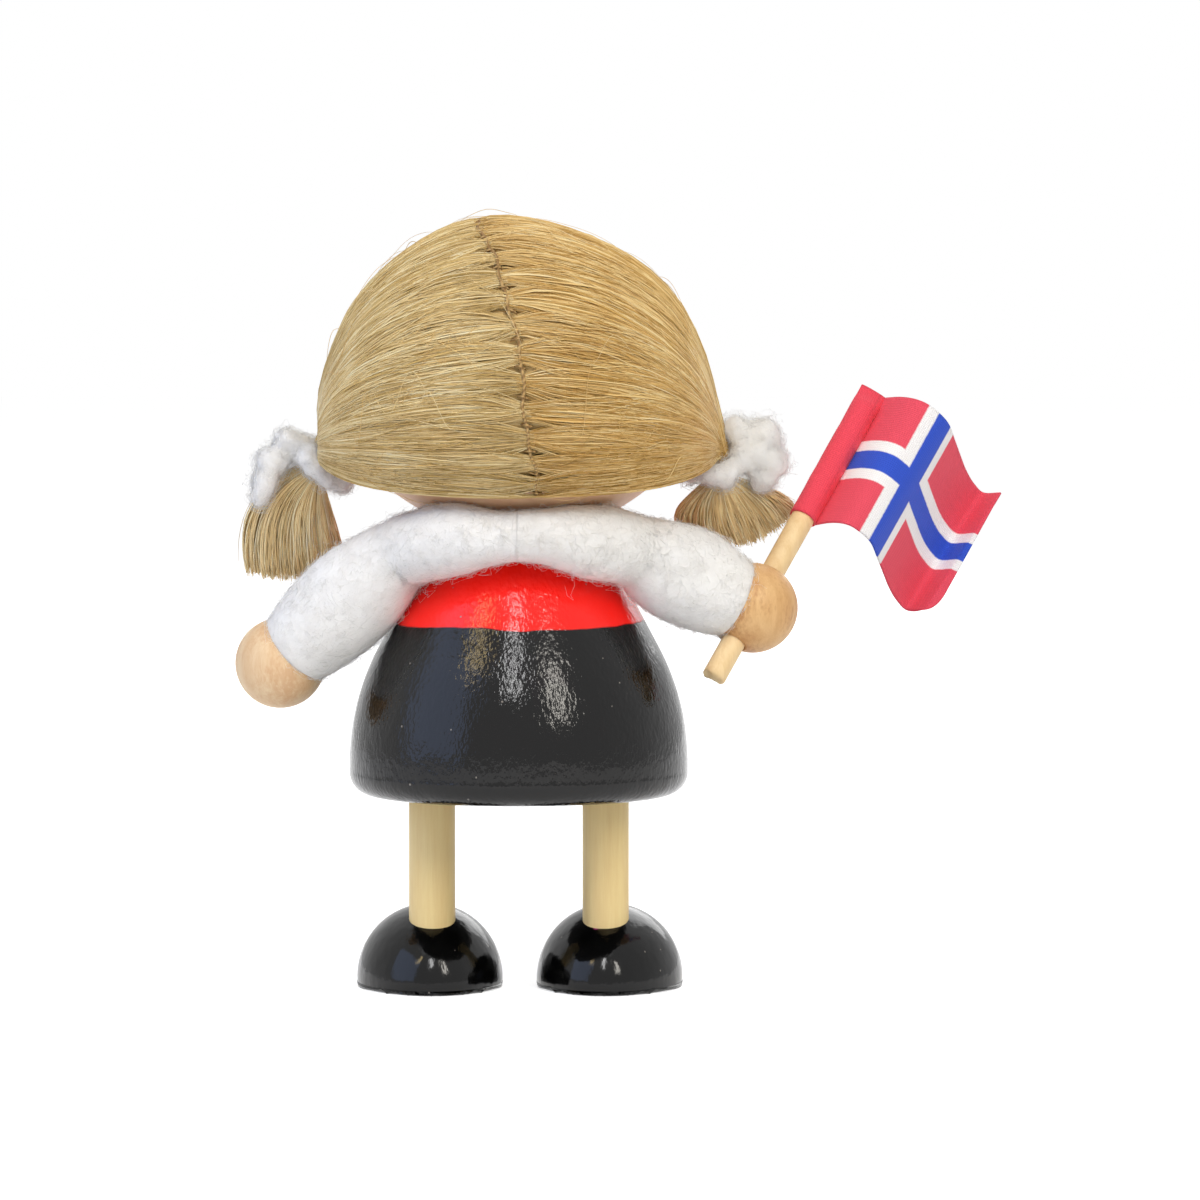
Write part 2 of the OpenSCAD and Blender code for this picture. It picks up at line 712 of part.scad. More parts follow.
// Distance of the head from that line in the same direction, at x, or 0 where it is missed
function head_reach(phi, x) = let (
        c = cos(phi), s = sin(phi), y = -gather_front, z = gather_z - head_z,
        qa = pow(c / head_r, 2) + pow(s / head_half_h, 2),
        qb = 2 * (y * c / pow(head_r, 2) + z * s / pow(head_half_h, 2)),
        qc = pow(x / head_r, 2) + pow(y / head_r, 2) + pow(z / head_half_h, 2) - 1,
        q = qb * qb - 4 * qa * qc)
    q <= 0 ? 0 : max(0, (-qb + sqrt(q)) / (2 * qa));
function mouth_angle(phi) = acos(pow(mouth_r / hair_reach(phi), 1 / bulge_share));
function hair_dip(a) = seam_dip * exp(-pow(a / seam_half_angle, 2));
// Distance of the hair's surface at x: the bulge of the bundle, or where it lies on the head
function soft_max(a, b, k) = (a + b + sqrt(pow(a - b, 2) + k * k)) / 2;
function hair_skin(phi, x) = let (
        bulge = hair_reach(phi) * pow(cos(asin(x / gather_x)), bulge_share),
        head = head_reach(phi, x))
    head > 0 ? soft_max(bulge, head + hair_gap + thinnest_share * hair_t, hair_gap) : bulge;
// Point of the hair at an angle over the head and an angle from the seam. It lies on the surface
// raised by out or, where shrink is set, on the inside of the cap
function hair_point(phi, from_seam, out, shrink) = let (
        a = from_seam + asin(table(seam_shares, phi)) * pow(cos(from_seam), 2),
        x = (gather_x - shrink) * sin(a),
        inside = max(hair_skin(phi, x) - shrink * cos(a), head_reach(phi, x) + hair_gap),
        r = shrink > 0 ? inside : hair_skin(phi, x) + out)
    [x, -gather_front + r * cos(phi), gather_z + r * sin(phi)];
function cap_phi(i) = lerp(nape_phi, brow_phi, i / cap_rows);

module hair_cap() {
    n = len(column_share);
    rows = [for (i = [0:cap_rows]) let (phi = cap_phi(i), edge = mouth_angle(phi))
        [for (k = column_share) let (
                a = k * edge,
                out = (i % 2 == 0 ? -furrow : 0) * min(1, abs(a) / seam_half_angle) - hair_dip(a))
            hair_point(phi, a, out, 0)]];
    lining = [for (i = [0:cap_rows]) let (phi = cap_phi(i), edge = mouth_angle(phi))
        [for (k = column_share) hair_point(phi, k * edge, 0, hair_t)]];
    count = n * (cap_rows + 1);
    outer = [for (i = [0:cap_rows - 1]) for (k = [0:n - 2]) let (a = i * n + k) each [
        [a, a + 1, a + n + 1], [a, a + n + 1, a + n]]];
    inner = [for (f = outer) [f[2] + count, f[1] + count, f[0] + count]];
    ends = [for (k = [0:n - 2]) let (a = k, b = cap_rows * n + k) each [
        [a, a + 1 + count, a + 1], [a, a + count, a + 1 + count],
        [b, b + 1, b + 1 + count], [b, b + 1 + count, b + count]]];
    mouths = [for (i = [0:cap_rows - 1]) let (a = i * n, b = i * n + n - 1) each [
        [a, a + n + count, a + count], [a, a + n, a + n + count],
        [b, b + count, b + n + count], [b, b + n + count, b + n]]];
    color("tan")
        polyhedron([for (r = concat(rows, lining)) each r], concat(outer, inner, ends, mouths));
}

// Thread sewn down the parting
thread_lift = thread_d / 2 - seam_dip + furrow / 4;
function thread_point(i) = hair_point(lerp(nape_phi, brow_phi, i / seam_rings), 0, thread_lift, 0);

module parting_thread() {
    p = [for (i = [0:seam_rings]) thread_point(i)];
    rings = [for (i = [0:seam_rings]) let (
            d = unit(p[min(seam_rings, i + 1)] - p[max(0, i - 1)]),
            u = unit(cross(d, [1, 0, 0])))
        ring(p[i], u, cross(d, u), thread_d / 2, thread_d / 2, thread_sides)];
    color("sienna")
        closed_loft(rings, p[0], p[seam_rings]);
}

// Pigtail: a gathered root in its tie that fans out to the cut ends
function lock(k) = 1 - lock_depth_share * (k % 2);
function pigtail_ring(c, u, v, a, b) = [for (k = [0:pigtail_sides - 1])
    c + lock(k) * (a * cos(360 * k / pigtail_sides) * u + b * sin(360 * k / pigtail_sides) * v)];

module pigtail(tie, axis, end, side_dir, half_w, half_d, hang) {
    d = unit(axis);
    top = tie - root_half_length * d;
    low = tie + root_half_length * d;
    fall = unit(end - low);
    bend = low + norm(end - low) * d / 2;
    u0 = unit(cross(cross(d, side_dir), d));
    root = [for (p = [top, low]) pigtail_ring(p, u0, cross(d, u0), root_r, root_r)];
    fan = [for (i = [1:pigtail_steps]) let (
            t = i / pigtail_steps,
            c = lerp(lerp(low, bend, t), lerp(bend, end, t), t),
            u = unit(lerp(u0, unit(side_dir), t)),
            v = unit(cross(lerp(d, fall, t), u)))
        pigtail_ring(c, u, v, lerp(root_r, half_w, pow(t, fan_share)), lerp(root_r, half_d, t))];
    u1 = unit(side_dir);
    v1 = unit(cross(fall, u1));
    tip = [for (q = tip_shares)
        pigtail_ring(end + q[1] * hang * cross(u1, v1), u1, v1, q[0] * half_w, q[0] * half_d)];
    color("tan")
        closed_loft(concat(root, fan, tip), top, end + hang * cross(u1, v1));
}

// Hair tie: a turn of fluffy yarn round the root, with its knot and ends outside it
module hair_tie(c, axis, lumps) {
    color("white") {
        translate(c)
            aim(axis)
                rotate_extrude()
                    translate([tie_r, 0])
                        circle(yarn_r);
        for (lump = lumps)
            translate(c + lump_r * lump[0])
                sphere(lump_r * lump[1]);
    }
}

// Offsets and radii of the lumps of yarn as shares of the size of a lump
lump_r = 2.2;
left_lump_shares = [[[2, 0.2, 1], 1], [[2.9, 0.7, -0.1], 0.95], [[3.3, 1.35, -1.15], 0.8],
                    [[3.5, 1.6, -2.1], 0.6]];
right_lump_shares = [[[-2.1, 0.15, 1.1], 1.35], [[-1.3, 0.15, 2.35], 1], [[-2.9, 0.1, 1.9], 1.2],
                     [[-3.3, 0.1, 0.3], 1.1], [[-2.4, 0.1, -0.15], 0.85]];

// The origin is at the bottom in the middle of the whole doll
flag_corners = [for (i = [0:wave_steps]) wave_point(i / wave_steps)];
flag_min_x = min([for (p = flag_corners) p[0] - flag_t / 2]);
flag_min_y = min([for (p = flag_corners) p[1]]);
nose_min_y = nose_base_y - nose_r;
hair_max_y = max([for (i = [0:seam_rings]) thread_point(i)[1]]) + thread_d / 2;
shift = [-(hand_left_c[0] + hand_r + flag_min_x) / 2, -(hair_max_y + min(flag_min_y, nose_min_y)) / 2, 0];
echo(shift = shift, hand_right = hand_right_c + shift, stick_dir = stick_dir,
     shoulder_left = shoulder_left + shift, shoulder_right = shoulder_right + shift,
     flag_min_x = flag_min_x, flag_min_y = flag_min_y, nose_min_y = nose_min_y, hair_max_y = hair_max_y);

translate(shift) body();
translate(shift) head();
translate(shift) neck_peg();
translate(shift) nose();
translate(shift) leg(1);  // leg_left
translate(shift) leg(-1);  // leg_right
translate(shift) shoe(1, toe_turn_left);  // shoe_left
translate(shift) shoe(-1, toe_turn_right);  // shoe_right
translate(shift) arm_wire();
translate(shift) sleeve_back();
translate(shift) sleeve(shoulder_left, arm_dir_left, left_sleeve_length);  // sleeve_left
translate(shift) sleeve(shoulder_right, arm_dir_right, right_sleeve_length);  // sleeve_right
translate(shift) hand_left();
translate(shift) hand_right();
translate(shift) flag_stick();
translate(shift) flag();
translate(shift) hair_cap();
translate(shift) parting_thread();
translate(shift) pigtail(tie_left_c, tie_left_dir, pigtail_left_end, pigtail_left_across,  // pigtail_left
                             pigtail_left_half_w, pigtail_left_half_d, pigtail_left_hang);
translate(shift) pigtail(tie_right_c, tie_right_dir, pigtail_right_end, pigtail_right_across,  // pigtail_right
                             pigtail_right_half_w, pigtail_right_half_d, pigtail_right_hang);
translate(shift) hair_tie(tie_left_c, tie_left_dir, left_lump_shares);  // hair_tie_left
translate(shift) hair_tie(tie_right_c, tie_right_dir, right_lump_shares);  // hair_tie_right
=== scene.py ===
"""Looks of a peg wooden doll seen from behind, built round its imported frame.

The doll faces -Y and stands on z = 0. Sizes below are in millimetres round the doll's own axis, and
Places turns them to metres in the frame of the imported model.
"""

from __future__ import annotations

import json
import logging
import math
from collections.abc import Callable, Sequence
from dataclasses import dataclass, field
from enum import Enum

import bmesh
import bpy
import numpy as np
from mathutils import Matrix, Vector, noise


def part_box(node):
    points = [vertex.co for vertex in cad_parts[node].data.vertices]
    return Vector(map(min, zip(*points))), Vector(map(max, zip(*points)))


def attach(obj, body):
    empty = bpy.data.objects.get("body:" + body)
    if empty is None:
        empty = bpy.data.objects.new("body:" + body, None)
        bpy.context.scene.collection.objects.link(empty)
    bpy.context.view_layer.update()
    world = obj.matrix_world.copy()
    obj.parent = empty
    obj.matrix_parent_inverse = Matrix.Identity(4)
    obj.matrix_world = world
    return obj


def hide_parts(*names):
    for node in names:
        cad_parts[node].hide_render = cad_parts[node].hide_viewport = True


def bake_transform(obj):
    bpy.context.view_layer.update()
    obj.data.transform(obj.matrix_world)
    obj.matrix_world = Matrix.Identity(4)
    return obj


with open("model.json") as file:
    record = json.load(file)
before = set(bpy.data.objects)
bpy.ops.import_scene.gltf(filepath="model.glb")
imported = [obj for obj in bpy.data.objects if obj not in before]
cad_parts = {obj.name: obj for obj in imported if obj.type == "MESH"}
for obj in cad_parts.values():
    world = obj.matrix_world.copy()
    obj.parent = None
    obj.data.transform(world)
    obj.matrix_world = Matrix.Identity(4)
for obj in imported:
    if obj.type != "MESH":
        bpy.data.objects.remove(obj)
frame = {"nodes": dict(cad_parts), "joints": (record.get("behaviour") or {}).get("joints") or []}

LOG = logging.getLogger("peg_doll")
MM = 0.001


# Places and small helpers


class Side(Enum):
    """Side of the doll: its left hand is at +X and its right hand at -X."""

    LEFT = 1
    RIGHT = -1

    @property
    def word(self) -> str:
        """Lower-case name of the side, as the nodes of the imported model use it."""
        return self.name.lower()


@dataclass(frozen=True)
class Places:
    """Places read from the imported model, in millimetres round the doll's axis.

    Attributes:
        axis: the doll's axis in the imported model, in metres.
        shoulders: the point that each arm bends at.
        hands: the middle of each bead hand.
        stick: direction of the flag stick, upwards.
    """

    axis: Vector
    shoulders: dict[Side, Vector]
    hands: dict[Side, Vector]
    stick: Vector

    @classmethod
    def read(cls) -> "Places":
        """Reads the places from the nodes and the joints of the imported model."""
        low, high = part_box("body")
        axis = Vector(((low.x + high.x) / 2, (low.y + high.y) / 2, 0.0))
        joints = {joint["name"]: joint for joint in frame["joints"]}

        def local(point: Sequence[float]) -> Vector:
            """Millimetres round the axis, from metres in the model's frame."""
            return (Vector(point) - axis) / MM

        low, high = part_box("hand_left")
        return cls(
            axis,
            {Side.LEFT: local(joints["left_arm_bend"]["pos_m"]),
             Side.RIGHT: local(joints["right_arm_bend"]["pos_m"])},
            {Side.LEFT: local((low + high) / 2), Side.RIGHT: local(joints["flag_turn"]["pos_m"])},
            Vector(joints["flag_turn"]["axis"]).normalized(),
        )

    def row(self, points: np.ndarray) -> np.ndarray:
        """Metres in the model's frame, from millimetres round the axis."""
        return np.asarray(points, float) * MM + np.array(self.axis)


PLACES = Places.read()


def srgb(code: str) -> tuple[float, float, float, float]:
    """Turns an sRGB hex colour to a linear colour.

    Args:
        code: six hex digits.

    Returns:
        Linear red, green, blue and an alpha of 1.
    """
    values = [int(code[i:i + 2], 16) / 255 for i in (0, 2, 4)]
    linear = [v / 12.92 if v <= 0.04045 else ((v + 0.055) / 1.055) ** 2.4 for v in values]
    return (*linear, 1.0)


def add_node(
    tree: bpy.types.NodeTree,
    kind: str,
    inputs: dict[int | str, object] | None = None,
    stops: Sequence[tuple[float, str]] = (),
    **settings: object,
) -> bpy.types.Node:
    """Adds one node with its settings and links.

    Args:
        tree: the material's tree.
        kind: the node's type name.
        inputs: a value or a socket to link, for each input's name or place.
        stops: places and hex colours of a colour ramp.
        **settings: the node's own properties.

    Returns:
        The new node.
    """
    node = tree.nodes.new(kind)
    for key, value in settings.items():
        setattr(node, key, value)
    for key, value in (inputs or {}).items():
        if isinstance(value, bpy.types.NodeSocket):
            tree.links.new(value, node.inputs[key])
        else:
            node.inputs[key].default_value = value
    for index, (place, code) in enumerate(stops):
        ramp = node.color_ramp.elements
        stop = ramp[index] if index < 2 else ramp.new(place)
        stop.position = place
        stop.color = srgb(code)
    return node


def start_material(name: str) -> tuple[bpy.types.Material, bpy.types.NodeTree, bpy.types.Node]:
    """Starts a material.

    Args:
        name: the finish's own name.

    Returns:
        The material, its tree and its Principled shader.
    """
    material = bpy.data.materials.new(name)
    material.use_nodes = True
    return material, material.node_tree, material.node_tree.nodes["Principled BSDF"]


def keep_mesh(mesh: bmesh.types.BMesh, name: str, material: bpy.types.Material) -> bpy.types.Object:
    """Turns a bmesh to a smooth object at the origin.

    Args:
        mesh: the shape in millimetres round the doll's axis. It is freed.
        name: the piece's name.
        material: its finish.

    Returns:
        The linked object, its place in its mesh in metres.
    """
    for face in mesh.faces:
        face.smooth = True
    data = bpy.data.meshes.new(name)
    mesh.to_mesh(data)
    mesh.free()
    data.transform(Matrix.Translation(PLACES.axis) @ Matrix.Scale(MM, 4))
    data.materials.append(material)
    piece = bpy.data.objects.new(name, data)
    bpy.context.scene.collection.objects.link(piece)
    return piece


def settle(piece: bpy.types.Object, body: str, slot: str, *nodes: str) -> bpy.types.Object:
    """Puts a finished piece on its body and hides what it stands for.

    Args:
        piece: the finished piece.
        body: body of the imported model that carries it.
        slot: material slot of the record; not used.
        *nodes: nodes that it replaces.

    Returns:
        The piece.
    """
    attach(piece, body)
    if nodes:
        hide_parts(*nodes)
    LOG.info("%s rides on %s, %d faces", piece.name, body, len(piece.data.polygons))
    return piece


def apply_modifiers(piece: bpy.types.Object) -> None:
    """Bakes the live modifiers of a piece into its mesh.

    Args:
        piece: a mesh object with modifiers.
    """
    view = bpy.context.evaluated_depsgraph_get()
    data = bpy.data.meshes.new_from_object(piece.evaluated_get(view))
    old = piece.data
    piece.modifiers.clear()
    piece.data = data
    bpy.data.meshes.remove(old)


def spin_profile(profile: Sequence[tuple[float, float]], steps: int = 128) -> bmesh.types.BMesh:
    """Turns a profile round +Z, as a lathe does.

    Args:
        profile: radius and height of each point, from one end of the axis to the other.
        steps: sides of the turned form.

    Returns:
        The closed form.
    """
    mesh = bmesh.new()
    chain = [mesh.verts.new((radius, 0, height)) for radius, height in profile]
    edges = [mesh.edges.new(pair) for pair in zip(chain, chain[1:])]
    bmesh.ops.spin(mesh, geom=[*chain, *edges], cent=(0, 0, 0), axis=(0, 0, 1),
                   angle=2 * math.pi, steps=steps, use_merge=True)
    bmesh.ops.remove_doubles(mesh, verts=mesh.verts, dist=1e-4)
    bmesh.ops.recalc_face_normals(mesh, faces=mesh.faces)
    return mesh


def arc(centre: tuple[float, float], radius: float, start: float, end: float, steps: int) -> list[tuple[float, float]]:
    """Points of an arc in a profile.

    Args:
        centre: its middle.
        radius: its radius.
        start: first angle in degrees from the level.
        end: last angle.
        steps: number of steps.

    Returns:
        The points, both ends included.
    """
    angles = np.radians(np.linspace(start, end, steps + 1))
    return [(centre[0] + radius * math.cos(a), centre[1] + radius * math.sin(a)) for a in angles]


def turn_to(direction: Vector, origin: Vector | None = None) -> Matrix:
    """Matrix that turns +Z to a direction and then moves to a point.

    Args:
        direction: where +Z goes.
        origin: where the middle goes.

    Returns:
        The matrix.
    """
    turn = direction.normalized().to_track_quat("Z", "Y").to_matrix().to_4x4()
    return Matrix.Translation(origin or Vector()) @ turn


@dataclass(frozen=True)
class Station:
    """One ring of a swept form: its middle, two directions across and two half sizes."""

    centre: Vector
    u: Vector
    v: Vector
    half_u: float
    half_v: float

    def matrix(self) -> Matrix:
        """Matrix that takes a unit circle in the XY plane to this ring."""
        across = self.u.cross(self.v)
        columns = (self.u * self.half_u, self.v * self.half_v, across, self.centre)
        rows = [[c[i] for c in columns] for i in range(3)]
        return Matrix([*rows, [0, 0, 0, 1]])


def sweep(stations: Sequence[Station], sides: int, open_start: bool = False) -> bmesh.types.BMesh:
    """Extrudes a ring through stations and closes the ends.

    Args:
        stations: the rings in order.
        sides: points of each ring.
        open_start: leaves the first ring open.

    Returns:
        The form.
    """
    mesh = bmesh.new()
    bmesh.ops.create_circle(mesh, segments=sides, radius=1, cap_ends=False, matrix=stations[0].matrix())
    edges = list(mesh.edges)
    if not open_start:
        bmesh.ops.contextual_create(mesh, geom=edges)
    for before, after in zip(stations, stations[1:]):
        geometry = bmesh.ops.extrude_edge_only(mesh, edges=edges)["geom"]
        loop = [item for item in geometry if isinstance(item, bmesh.types.BMVert)]
        edges = [item for item in geometry if isinstance(item, bmesh.types.BMEdge)
                 and all(v in loop for v in item.verts)]
        bmesh.ops.transform(mesh, matrix=after.matrix() @ before.matrix().inverted(), verts=loop)
    bmesh.ops.contextual_create(mesh, geom=edges)
    bmesh.ops.recalc_face_normals(mesh, faces=mesh.faces)
    return mesh


def roughen(mesh: bmesh.types.BMesh, size: float, depth: float, seed: float = 0.0) -> None:
    """Moves each point of a form along its normal by smooth noise.

    Args:
        mesh: the form.
        size: width of a lump.
        depth: how far a point moves.
        seed: shifts the noise.
    """
    mesh.normal_update()
    moves = [(v, v.normal * depth * noise.noise(v.co / size + Vector((seed, 0, 0)))) for v in mesh.verts]
    for vertex, move in moves:
        vertex.co += move


def unit(v: np.ndarray) -> np.ndarray:
    """Unit vectors along the last axis."""
    return v / np.maximum(np.linalg.norm(v, axis=-1, keepdims=True), 1e-9)


@dataclass
class Fibres:
    """Fibres that are turned into one mesh of thin three-sided tubes.

    Attributes:
        name: the piece's name.
        paths: points of each fibre, in millimetres round the axis.
        radii: radius at each point.
    """

    name: str
    paths: list[np.ndarray] = field(default_factory=list)
    radii: list[np.ndarray] = field(default_factory=list)

    def add(self, paths: np.ndarray, radii: np.ndarray) -> None:
        """Adds fibres.

        Args:
            paths: fibre by point by three.
            radii: one radius for each fibre.
        """
        count = paths.shape[1]
        taper = 1 - 0.45 * np.linspace(-1, 1, count) ** 4
        self.paths.extend(paths)
        self.radii.extend(radii[:, None] * taper[None, :])

    def build(self, material: bpy.types.Material) -> bpy.types.Object:
        """Makes the piece.

        Args:
            material: its finish.

        Returns:
            The linked mesh object.
        """
        section = bpy.data.curves.new(f"{self.name}_section", "CURVE")
        section.dimensions = "2D"
        spline = section.splines.new("POLY")
        spline.points.add(2)
        for point, angle in zip(spline.points, (90, 210, 330)):
            point.co = (math.cos(math.radians(angle)), math.sin(math.radians(angle)), 0, 1)
        spline.use_cyclic_u = True
        outline = bpy.data.objects.new(f"{self.name}_section", section)
        curve = bpy.data.curves.new(f"{self.name}_paths", "CURVE")
        curve.dimensions = "3D"
        curve.bevel_mode = "OBJECT"
        curve.bevel_object = outline
        curve.use_fill_caps = True
        for path, radius in zip(self.paths, self.radii):
            spline = curve.splines.new("POLY")
            spline.points.add(len(path) - 1)
            row = PLACES.row(path)
            spline.points.foreach_set("co", np.column_stack([row, np.ones(len(row))]).ravel())
            spline.points.foreach_set("radius", radius * MM)
        holder = bpy.data.objects.new(f"{self.name}_paths", curve)
        bpy.context.scene.collection.objects.link(holder)
        bpy.context.view_layer.update()
        view = bpy.context.evaluated_depsgraph_get()
        data = bpy.data.meshes.new_from_object(holder.evaluated_get(view))
        bpy.data.objects.remove(holder)
        bpy.data.objects.remove(outline)
        bpy.data.curves.remove(curve)
        bpy.data.curves.remove(section)
        data.name = self.name
        data.materials.clear()
        data.materials.append(material)
        data.polygons.foreach_set("use_smooth", [True] * len(data.polygons))
        piece = bpy.data.objects.new(self.name, data)
        bpy.context.scene.collection.objects.link(piece)
        return piece


# Finishes


@dataclass(frozen=True)
class BrushedEnamel:
    """Solvent gloss enamel brushed by hand on turned birch.

    The film follows the raised grain, so highlights break into fine specks, dust that settled in it
    stands out pale, and the paint line between two coats wanders a little.
    """

    name: str
    lower: str
    upper: str
    line_z: float
    grain_mm: float = 0.5
    grain_depth: float = 0.072
    roughness: float = 0.1
    specular: float = 0.34

    def specks(self, tree: bpy.types.NodeTree, place: bpy.types.NodeSocket, size: float,
               share: float) -> bpy.types.NodeSocket:
        """Mask of sparse specks.

        Args:
            tree: the material's tree.
            place: the place on the piece.
            size: mean distance of the cells that a speck may sit in, in millimetres.
            share: share of the cells that have one.

        Returns:
            1 on a speck and 0 elsewhere.
        """
        cells = add_node(tree, "ShaderNodeTexVoronoi", {"Vector": place, "Scale": 1 / (size * MM)})
        chance = add_node(tree, "ShaderNodeSeparateXYZ", {0: cells.outputs["Color"]})
        some = add_node(tree, "ShaderNodeMath", {0: chance.outputs["X"], 1: 1 - share}, operation="GREATER_THAN")
        spot = add_node(tree, "ShaderNodeMapRange", {
            "Value": cells.outputs["Distance"], "From Min": 0.17, "From Max": 0.07})
        return add_node(tree, "ShaderNodeMath", {0: some.outputs[0], 1: spot.outputs["Result"]},
                        operation="MULTIPLY").outputs[0]

    def material(self) -> bpy.types.Material:
        """Builds the material."""
        material, tree, shader = start_material(self.name)
        place = add_node(tree, "ShaderNodeTexCoord").outputs["Object"]
        split = add_node(tree, "ShaderNodeSeparateXYZ", {0: place})
        wander = add_node(tree, "ShaderNodeTexNoise", {"Vector": place, "Scale": 90.0, "Detail": 3.0})
        lift = add_node(tree, "ShaderNodeMath", {0: wander.outputs["Fac"], 1: 1.6 * MM, 2: split.outputs["Z"]},
                        operation="MULTIPLY_ADD")
        tilt = add_node(tree, "ShaderNodeMath", {0: split.outputs["X"], 1: 0.012, 2: lift.outputs[0]},
                        operation="MULTIPLY_ADD")
        edge = add_node(tree, "ShaderNodeMapRange", {
            "Value": tilt.outputs[0], "From Min": (self.line_z + 0.7) * MM, "From Max": (self.line_z + 0.9) * MM})
        coats = add_node(tree, "ShaderNodeMix", {
            0: edge.outputs["Result"], 6: srgb(self.lower), 7: srgb(self.upper)}, data_type="RGBA")
        dusty = add_node(tree, "ShaderNodeMix", {
            0: self.specks(tree, place, 1.1, 0.06), 6: coats.outputs[2], 7: srgb("8d867e")}, data_type="RGBA")
        spotted = add_node(tree, "ShaderNodeMix", {
            0: self.specks(tree, place, 3.1, 0.03), 6: dusty.outputs[2], 7: srgb("b0407a")}, data_type="RGBA")
        drawn = add_node(tree, "ShaderNodeMapping", {"Vector": place, "Scale": (1.0, 1.0, 0.55)})
        grain = add_node(tree, "ShaderNodeTexNoise", {
            "Vector": drawn.outputs[0], "Scale": 1 / (self.grain_mm * MM), "Detail": 2.0, "Roughness": 0.5})
        swell = add_node(tree, "ShaderNodeTexNoise", {"Vector": place, "Scale": 330.0, "Detail": 1.0})
        ridge = add_node(tree, "ShaderNodeMath", {0: edge.outputs["Result"], 1: 0.3, 2: grain.outputs["Fac"]},
                         operation="MULTIPLY_ADD")
        fine = add_node(tree, "ShaderNodeBump", {
            "Height": ridge.outputs[0], "Distance": self.grain_depth * MM, "Strength": 1.0})
        broad = add_node(tree, "ShaderNodeBump", {
            "Height": swell.outputs["Fac"], "Distance": 0.12 * MM, "Strength": 0.8,
            "Normal": fine.outputs["Normal"]})
        tree.links.new(spotted.outputs[2], shader.inputs["Base Color"])
        tree.links.new(broad.outputs["Normal"], shader.inputs["Normal"])
        shader.inputs["Roughness"].default_value = self.roughness
        shader.inputs["Specular IOR Level"].default_value = self.specular
        return material


@dataclass(frozen=True)
class SandedWood:
    """Birch or lime, turned or drawn to a dowel, sanded and left bare.

    Pale bands of growth with fine darker pores drawn out along the grain.
    """

    name: str
    pale: str
    dark: str
    along: Vector
    band_mm: float = 1.6
    pore_mm: float = 0.16
    contrast: float = 1.0
    fleck: str = "b9773f"
    fleck_share: float = 0.0

    def material(self) -> bpy.types.Material:
        """Builds the material."""
        material, tree, shader = start_material(self.name)
        place = add_node(tree, "ShaderNodeTexCoord").outputs["Object"]
        turn = self.along.rotation_difference(Vector((0, 0, 1))).to_euler()
        flat = add_node(tree, "ShaderNodeMapping", {
            "Vector": place, "Rotation": turn, "Scale": (1.0, 1.0, 0.06)})
        bands = add_node(tree, "ShaderNodeTexNoise", {
            "Vector": flat.outputs[0], "Scale": 1 / (self.band_mm * MM), "Detail": 2.0, "Distortion": 0.4})
        pores = add_node(tree, "ShaderNodeTexNoise", {
            "Vector": flat.outputs[0], "Scale": 1 / (self.pore_mm * MM), "Detail": 2.0})
        both = add_node(tree, "ShaderNodeMath", {0: pores.outputs["Fac"], 1: 0.45, 2: bands.outputs["Fac"]},
                        operation="MULTIPLY_ADD")
        tone = add_node(tree, "ShaderNodeMapRange", {
            "Value": both.outputs[0], "From Min": 0.72 - 0.3 / self.contrast, "From Max": 0.72 + 0.3 / self.contrast})
        colour = add_node(tree, "ShaderNodeMix", {
            0: tone.outputs["Result"], 6: srgb(self.dark), 7: srgb(self.pale)}, data_type="RGBA")
        short = add_node(tree, "ShaderNodeMapping", {
            "Vector": place, "Rotation": turn, "Scale": (1.0, 1.0, 0.45)})
        spots = add_node(tree, "ShaderNodeTexNoise", {
            "Vector": short.outputs[0], "Scale": 1 / (0.55 * MM), "Detail": 3.0, "Roughness": 0.65})
        where = add_node(tree, "ShaderNodeTexNoise", {"Vector": place, "Scale": 170.0, "Detail": 1.0})
        both_spots = add_node(tree, "ShaderNodeMath", {0: spots.outputs["Fac"], 1: where.outputs["Fac"]},
                              operation="MULTIPLY")
        flecked = add_node(tree, "ShaderNodeMapRange", {
            "Value": both_spots.outputs[0], "From Min": 0.2, "From Max": 0.36, "To Max": self.fleck_share})
        stained = add_node(tree, "ShaderNodeMix", {
            0: flecked.outputs["Result"], 6: colour.outputs[2], 7: srgb(self.fleck)}, data_type="RGBA")
        bump = add_node(tree, "ShaderNodeBump", {
            "Height": pores.outputs["Fac"], "Distance": 0.03 * MM, "Strength": 0.5})
        tree.links.new(stained.outputs[2], shader.inputs["Base Color"])
        tree.links.new(bump.outputs["Normal"], shader.inputs["Normal"])
        shader.inputs["Roughness"].default_value = 0.5
        shader.inputs["IOR"].default_value = 1.5
        return material


@dataclass(frozen=True)
class Spot:
    """A round painted spot on the face: its middle, radius, soft edge and colour."""

    x: float
    z: float
    radius: float
    soft: float
    colour: str
    strength: float = 1.0


